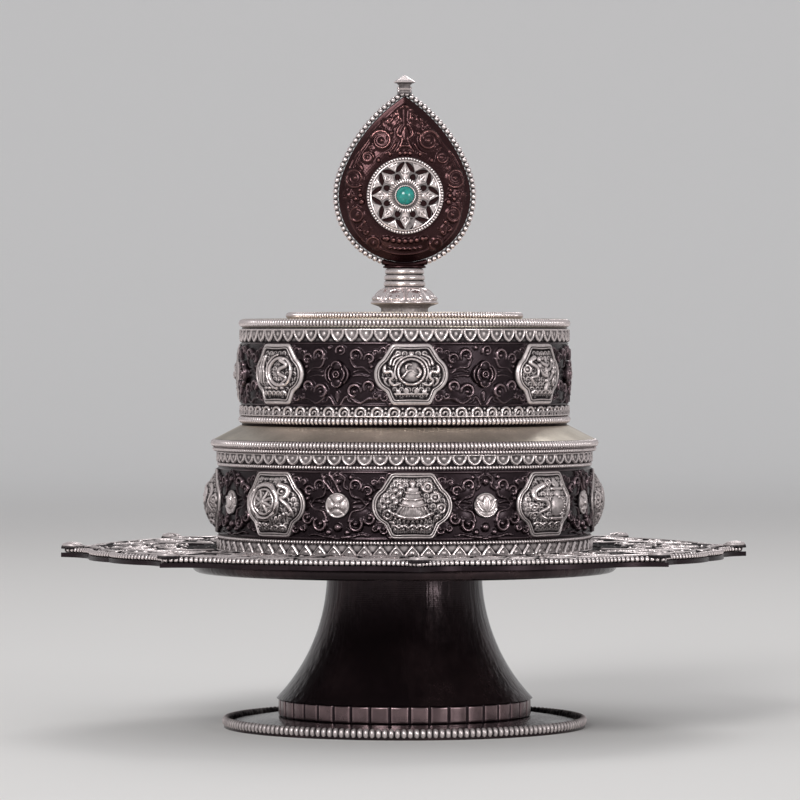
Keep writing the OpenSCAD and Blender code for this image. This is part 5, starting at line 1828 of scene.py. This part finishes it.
def make_apex():
    """Collar of round sections under a square cap, with two small beads at each side."""
    low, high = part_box("apex_cap")
    half = high.x / MM - 0.03
    base, top = low.z / MM, high.z / MM - 0.02
    count, collar_tall, eave, bead_r = 64, 4.2, 0.6, 0.66
    brim = base + collar_tall
    turn = around(count) + TAU / count / 2
    square = 1 / np.maximum(np.abs(np.cos(turn)), np.abs(np.sin(turn)))
    collar = [(3.1, 0), (2.75, 0.5), (2.1, 1.1), (2.45, 1.6), (2.6, 1.9), (2.2, 2.3), (2.15, 2.9)]
    collar += [(2.7, 3.6), (3.3, collar_tall)]
    cap = [(half - 0.75, 0), (half - 0.05, 0.15), (half, 0.35), (half - 0.25, eave)]
    for k in np.linspace(0, 1, 6)[1:]:
        cap.append((half - 0.25 - k * (half - 0.3), eave + k * (top - brim - eave)))
    rounds = [revolve(r, turn, base + z) for r, z in collar]
    rounds += [revolve(r * square, turn, brim + z) for r, z in cap]
    # Wear with painted light: dark in the collar's waists and under the cap's brim as painted shade, bright
    # on the round sections and the cap as rubbing and painted highlight
    collar_wear_and_light = [0.2, 0.45, 0.3, 0.6, 0.8, 0.3, 0.3, 0.35, 0.1]
    cap_wear_and_light = [0.1, 0.7, 1.0, 1.0, 0.95, 0.95, 1.0, 1.0, 1.0]
    shell = Shell()
    shell.stack(np.array(rounds), collar_wear_and_light + cap_wear_and_light)
    spots = np.array([(side * 2.3, 0, base + rise) for side in (-1, 1) for rise in (0.9, 2.2)])
    along, out, up = (np.tile(axis, (len(spots), 1)) for axis in np.eye(3))
    shell.beads(spots, along, -out, up, (bead_r, bead_r, bead_r))
    shell.piece("apex_cap_turned", "finial", SILVER, "apex_cap", crease=32)


class MANDALA_OT_apex(Operator):
    """Four-sided cap on a waisted collar, on the leaf's point"""

    bl_idname = "mandala.apex"
    bl_label = "Apex"

    def execute(self, context):
        make_apex()
        return {"FINISHED"}


# Angles of the wheel's spokes, and half the angle between two
SPOKES = math.pi / 2 + around(8)
HALF_STEP = TAU / 16


def openwork(wheel_r, thick):
    """Disc pierced by a zigzag of lens holes and by oval holes nearer the stone."""
    bevel, hub_r, lean = 0.2, 4.0, math.radians(37)
    curve = bpy.data.curves.new("wheel_outline", "CURVE")
    curve.dimensions = "2D"
    curve.fill_mode = "BOTH"
    curve.extrude = thick / 2 - bevel
    curve.bevel_depth = bevel
    curve.bevel_resolution = 2
    curve.offset = -bevel

    def loop(points):
        spline = curve.splines.new("POLY")
        spline.points.add(len(points) - 1)
        flat = np.column_stack([points, np.zeros(len(points)), np.ones(len(points))])
        spline.points.foreach_set("co", flat.ravel())
        spline.use_cyclic_u = True

    def lens(x, y, long, width, sharp, lean, turn):
        t = around(24)
        px = np.cos(t) * long / 2
        py = np.sin(t) * np.abs(np.sin(t)) ** sharp * width / 2
        c, s = math.cos(lean), math.sin(lean)
        px, py = x + px * c - py * s, y + px * s + py * c
        c, s = math.cos(turn), math.sin(turn)
        loop(np.column_stack([px * c - py * s, px * s + py * c]))

    loop(polar(wheel_r - 0.05, around(128)))
    loop(polar(hub_r, around(64)))
    for turn in SPOKES:
        for side in (-1, 1):
            spot = (wheel_r * 0.735, side * wheel_r * 0.132)
            lens(*spot, wheel_r * 0.34, wheel_r * 0.125, 0.45, -side * lean, turn)
        lens(wheel_r * 0.505, 0, wheel_r * 0.19, wheel_r * 0.155, 0.1, 0, turn + HALF_STEP)
    made = placed("wheel_outline", curve)
    solid = made.evaluated_get(bpy.context.evaluated_depsgraph_get())
    shape = solid.to_mesh()
    points = np.zeros(len(shape.vertices) * 3)
    shape.vertices.foreach_get("co", points)
    faces = [np.array([list(polygon.vertices)]) for polygon in shape.polygons]
    solid.to_mesh_clear()
    bpy.data.objects.remove(made)
    bpy.data.curves.remove(curve)
    return points.reshape(-1, 3) + (0, 0, thick / 2), faces


def add_lozenges(shell, place, wheel_r, front):
    """Ridged lozenges with a fan of rays towards the stone, and a pad at the rim between each two."""
    back = front - 0.5
    turns = around(48)
    shares = np.concatenate([np.linspace(1, 0.8, 4), np.linspace(0.72, 0.05, 10)])
    lozenge = polygon_reach(turns, [(4.1, 0), (0.3, 2.15), (-2.6, 0.95), (-2.6, -0.95), (0.3, -2.15)])
    pad = polygon_reach(turns, [(1.05, 2.5), (0.7, 1.6), (-2, 0), (0.7, -1.6), (1.05, -2.5), (1.25, 0)])

    def ridged(x, y, inset):
        chase = Relief(x, y)
        chase.line([(-0.4, 0), (3.6, 0)], 0.42, 0.42, 0.2)
        chase.line([(2.6, 0), (0.5, 1.2), (-0.5, 0), (0.5, -1.2), (2.6, 0)], 0.26, 0.34)
        for i in range(-2, 3):
            chase.line([(-2.4, i * 0.16), (-0.9, i * 0.5)], 0.22, 0.36)
        roll = np.interp(inset, [0, 0.15, 0.32, 0.55], [0, 0.34, 0.36, 0.12])
        # Bright on the ridges and the rolled rim, as rubbing and painted highlight, darkest at the edge, as
        # painted shade
        wear_and_painted_light = 0.38 + 1.1 * chase.height + 0.9 * (roll - 0.12) - 0.3 * (inset < 0.1)
        return front + roll + chase.height, np.clip(wear_and_painted_light, 0, 1)

    def pillowed(x, y, inset):
        height = 0.32 * np.sqrt(np.clip(inset / 0.6, 0, 1))
        return front + height, np.clip(0.3 + 2.0 * height, 0, 1)

    for turn in SPOKES:
        spoke = on_spoke(place, turn, wheel_r * 0.6)
        between = on_spoke(place, turn + HALF_STEP, wheel_r * 0.8)
        shell.boss(spoke, turns, lozenge, shares, ridged, back)
        shell.boss(between, turns, pad, shares, pillowed, back)


def circle(place, count, radius, level):
    """Points round the wheel's middle, and the directions outwards and forwards at them."""
    turns, levels = around(count), np.full(count, level)
    points = place(*polar(radius, turns).T, levels)
    outwards = place(*polar(radius + 1, turns).T, levels) - points
    forwards = place(*polar(radius, turns).T, levels + 1) - points
    return points, outwards, forwards


def add_plain_circle(shell, place, radius, level, wire_r):
    """Plain wire round the wheel's middle."""
    points, outwards, forwards = circle(place, 120, radius, level)
    shell.tube(points, forwards, outwards, wire_r, wire_r, 0.8)


def add_beaded_circle(shell, place, radius, level, wire_r, pitch):
    """Beaded wire round the wheel's middle."""
    points, outwards, forwards = circle(place, round(TAU * radius / pitch), radius, level)
    along = unit(np.roll(points, -1, 0) - np.roll(points, 1, 0))
    shell.beads(points, along, forwards, outwards, (pitch * 0.54, wire_r, wire_r))
    shell.tube(points, forwards, outwards, wire_r * 0.7, wire_r * 0.7, CORE_SHADE)


def add_rays(shell, place, front):
    """Short rays on the wheel round the bezel."""
    spots, along, above = circle(place, 40, 6.0, front)
    shell.beads(spots, along, above, np.cross(along, above), (1.1, 0.4, 0.38), fine=(8, 6), shine=1.2)


def add_cup(shell, place, low, top, outer):
    """Bezel: a turned cup with a serrated lip folded over the stone."""
    count, teeth, depth = 168, 28, 0.12
    turns = around(count)
    serrated = depth * np.cos(teeth * turns)
    # Each round: distance from the outer edge, level, wear with painted light (dark at the foot, under the
    # lip and inside the cup as painted shade, bright on the lip as rubbing and painted highlight), and
    # whether it is serrated
    profile = (
        (0, low - 0.1, 0.1, 0),
        (0, low + 0.45, 0.45, 0),
        (0.25, low + 0.7, 0.3, 0),
        (0.5, low + 1, 0.1, 0),
        (0.55, top - 0.45, 0.4, 1),
        (0.7, top - 0.1, 0.9, 1),
        (1, top - 0.02, 0.5, 1),
        (1.22, top - 0.06, 0.15, 0),
        (1.2, top - 0.3, 0, 0),
        (0.84, top - 0.9, 0, 0),
        (0.84, low - 0.1, 0, 0),
    )
    rounds = []
    for inset, level, _, cut in profile:
        wave = cut * serrated
        rounds.append(place(*polar(outer - inset + wave, turns).T, level - 0.2 * np.abs(wave)))
    wear_and_painted_light = np.repeat([row[2] for row in profile], count)
    shell.add(np.stack(rounds), wear_and_painted_light, lattice(len(profile), count))


class MANDALA_OT_wheel(Operator):
    """Openwork wheel with eight lozenges, and the bezel round the stone, on both sides of the leaf"""

    bl_idname = "mandala.wheel"
    bl_label = "Wheel and bezel"

    def execute(self, context):
        low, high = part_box("wheel_front")
        wheel_r = high.x / MM
        centre = (low.z + high.z) / 2 / MM
        back, front = -high.y / MM, -low.y / MM
        bezel_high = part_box("bezels")[1]
        bezel_r = bezel_high.x / MM - 0.55
        bezel_top = bezel_high.y / MM
        outline, faces = openwork(wheel_r, front - back)
        x, y, depth = outline.T
        bezels = Shell()
        for side, node in ((1, "wheel_front"), (-1, "wheel_back")):
            place = on_leaf(side, centre)
            shell = Shell()
            # The pierced disc darkens towards its back face beside the leaf: painted shade in the piercings
            shell.add(place(x, y, back + depth), np.clip(0.08 + depth / (front - back) * 0.26, 0, 1), *faces)
            add_lozenges(shell, place, wheel_r, front)
            add_beaded_circle(shell, place, wheel_r - 0.62, front - 0.05, 0.6, 1.15)
            add_plain_circle(shell, place, wheel_r - 1.6, front - 0.1, 0.3)
            add_rays(shell, place, front)
            shell.piece(node + "_openwork", "finial", SILVER, node, crease=40)
            add_cup(bezels, place, front, bezel_top, bezel_r)
        bezels.piece("bezel_cups", "finial", SILVER, "bezels")
        return {"FINISHED"}


def make_camera(settings):
    """Long lens at the front, aimed a little beside the axis."""
    sight = Vector((math.sin(settings.turn), -math.cos(settings.turn), 0))
    aside = Vector((math.cos(settings.turn), math.sin(settings.turn), 0))
    lens = bpy.data.cameras.new("camera")
    lens.lens = settings.lens
    lens.sensor_width = 36
    camera = placed("camera", lens)
    camera.location = sight * settings.distance + Vector((0, 0, settings.height))
    face(camera, Vector((0, 0, settings.aim_level)) - aside * settings.aim_side)
    bpy.context.scene.camera = camera


def face(thing, aim):
    """Turns a lamp or a camera towards a spot."""
    thing.rotation_euler = (aim - thing.location).to_track_quat("-Z", "Y").to_euler()


def make_floor(settings):
    """Round floor whose rim sweeps up into a wall."""
    flat_r, sweep_r, wall_top, cols = 3.6, 1.2, 1.8, 128
    inner = np.linspace(0.05, flat_r, 12)
    bend = np.linspace(0, math.pi / 2, 14)[1:]
    radius = np.concatenate([inner, flat_r + sweep_r * np.sin(bend), [flat_r + sweep_r]])
    level = np.concatenate([0 * inner, sweep_r - sweep_r * np.cos(bend), [wall_top]])
    points = revolve(radius[:, None], around(cols), level[:, None])
    faces = lattice(len(radius), cols, round_rows=False)[:, ::-1].tolist()
    mesh = smooth_mesh("floor", points, [*faces, list(range(cols))])
    finish = Finish("pale floor", Roughness=0.9, Specular_IOR_Level=0.1)
    # The floor pales towards the far sweep: painted light that makes up for the lamps lighting it less
    far = finish.vector("LENGTH", {0: finish.place}, output=1)
    share = finish.soft(far + 0.1 * finish.noise(3.0), 1.5, 4.0)
    mesh.materials.append(finish.show(Base_Color=finish.mix(share, settings.floor, settings.lightened_backdrop)))
    floor = placed("floor", mesh)


# Middle of the object, in metres
MIDDLE = Vector((0, 0, 0.13))


def make_lamp(name, spot, size, watts):
    """Square soft lamp that faces the middle of the object."""
    light = bpy.data.lights.new(name, "AREA")
    light.size = size
    light.spread = math.radians(80)
    light.energy = watts
    lamp = placed(name, light)
    lamp.location = spot
    lamp.visible_camera = False
    face(lamp, MIDDLE)


class MANDALA_OT_stage(Operator):
    """Pale floor with a wide sweep, soft lamps and the camera"""

    bl_idname = "mandala.stage"
    bl_label = "Stage"

    def execute(self, context):
        settings = context.scene.mandala.stage
        make_floor(settings)
        make_lamp("key_lamp", (-1.36, -3.23, 1.86), 1.28, settings.key_power)
        make_lamp("fill_lamp", (2.46, -2.63, 0.69), 1.02, settings.fill_power)
        make_lamp("back_lamp", (0.6, 2.2, 2.63), 1.36, settings.back_power)
        make_camera(settings)
        world = bpy.data.worlds.new("studio")
        world.use_nodes = True
        ground = world.node_tree.nodes["Background"]
        ground.inputs["Color"].default_value = (0.43, 0.43, 0.44, 1)
        ground.inputs["Strength"].default_value = 1.0
        context.scene.world = world
        context.scene.view_settings.view_transform = "Standard"
        return {"FINISHED"}


STEPS = (
    MANDALA_OT_finishes,
    MANDALA_OT_foot,
    MANDALA_OT_tray,
    MANDALA_OT_walls,
    MANDALA_OT_strips,
    MANDALA_OT_medallions,
    MANDALA_OT_rosettes,
    MANDALA_OT_lotus,
    MANDALA_OT_leaf,
    MANDALA_OT_wheel,
    MANDALA_OT_apex,
    MANDALA_OT_stage,
)


class MANDALA_PT_panel(Panel):
    """Steps that dress the offering plate"""

    bl_idname = "MANDALA_PT_panel"
    bl_label = "Mandala offering plate"
    bl_space_type = "VIEW_3D"
    bl_region_type = "UI"
    bl_category = "Mandala"

    def draw(self, context):
        for step in STEPS:
            self.layout.operator(step.bl_idname)
        for group in ("colours", "ornament", "stage"):
            settings = getattr(context.scene.mandala, group)
            box = self.layout.box()
            for key in settings.__annotations__:
                box.prop(settings, key)


CLASSES = (MandalaColours, MandalaOrnament, MandalaStage, MandalaSettings, *STEPS, MANDALA_PT_panel)


def register():
    """Makes the classes and the settings known."""
    for kind in CLASSES:
        bpy.utils.register_class(kind)
    bpy.types.Scene.mandala = PointerProperty(type=MandalaSettings)


def unregister():
    """Takes the settings and the classes away."""
    del bpy.types.Scene.mandala
    for kind in reversed(CLASSES):
        bpy.utils.unregister_class(kind)


def main():
    """Dresses the frame step by step."""
    register()
    bpy.ops.mandala.finishes()
    bpy.ops.mandala.foot()
    bpy.ops.mandala.tray()
    bpy.ops.mandala.walls()
    bpy.ops.mandala.strips()
    bpy.ops.mandala.medallions()
    bpy.ops.mandala.rosettes()
    bpy.ops.mandala.lotus()
    bpy.ops.mandala.leaf()
    bpy.ops.mandala.wheel()
    bpy.ops.mandala.apex()
    bpy.ops.mandala.stage()


if __name__ == "__main__":
    main()
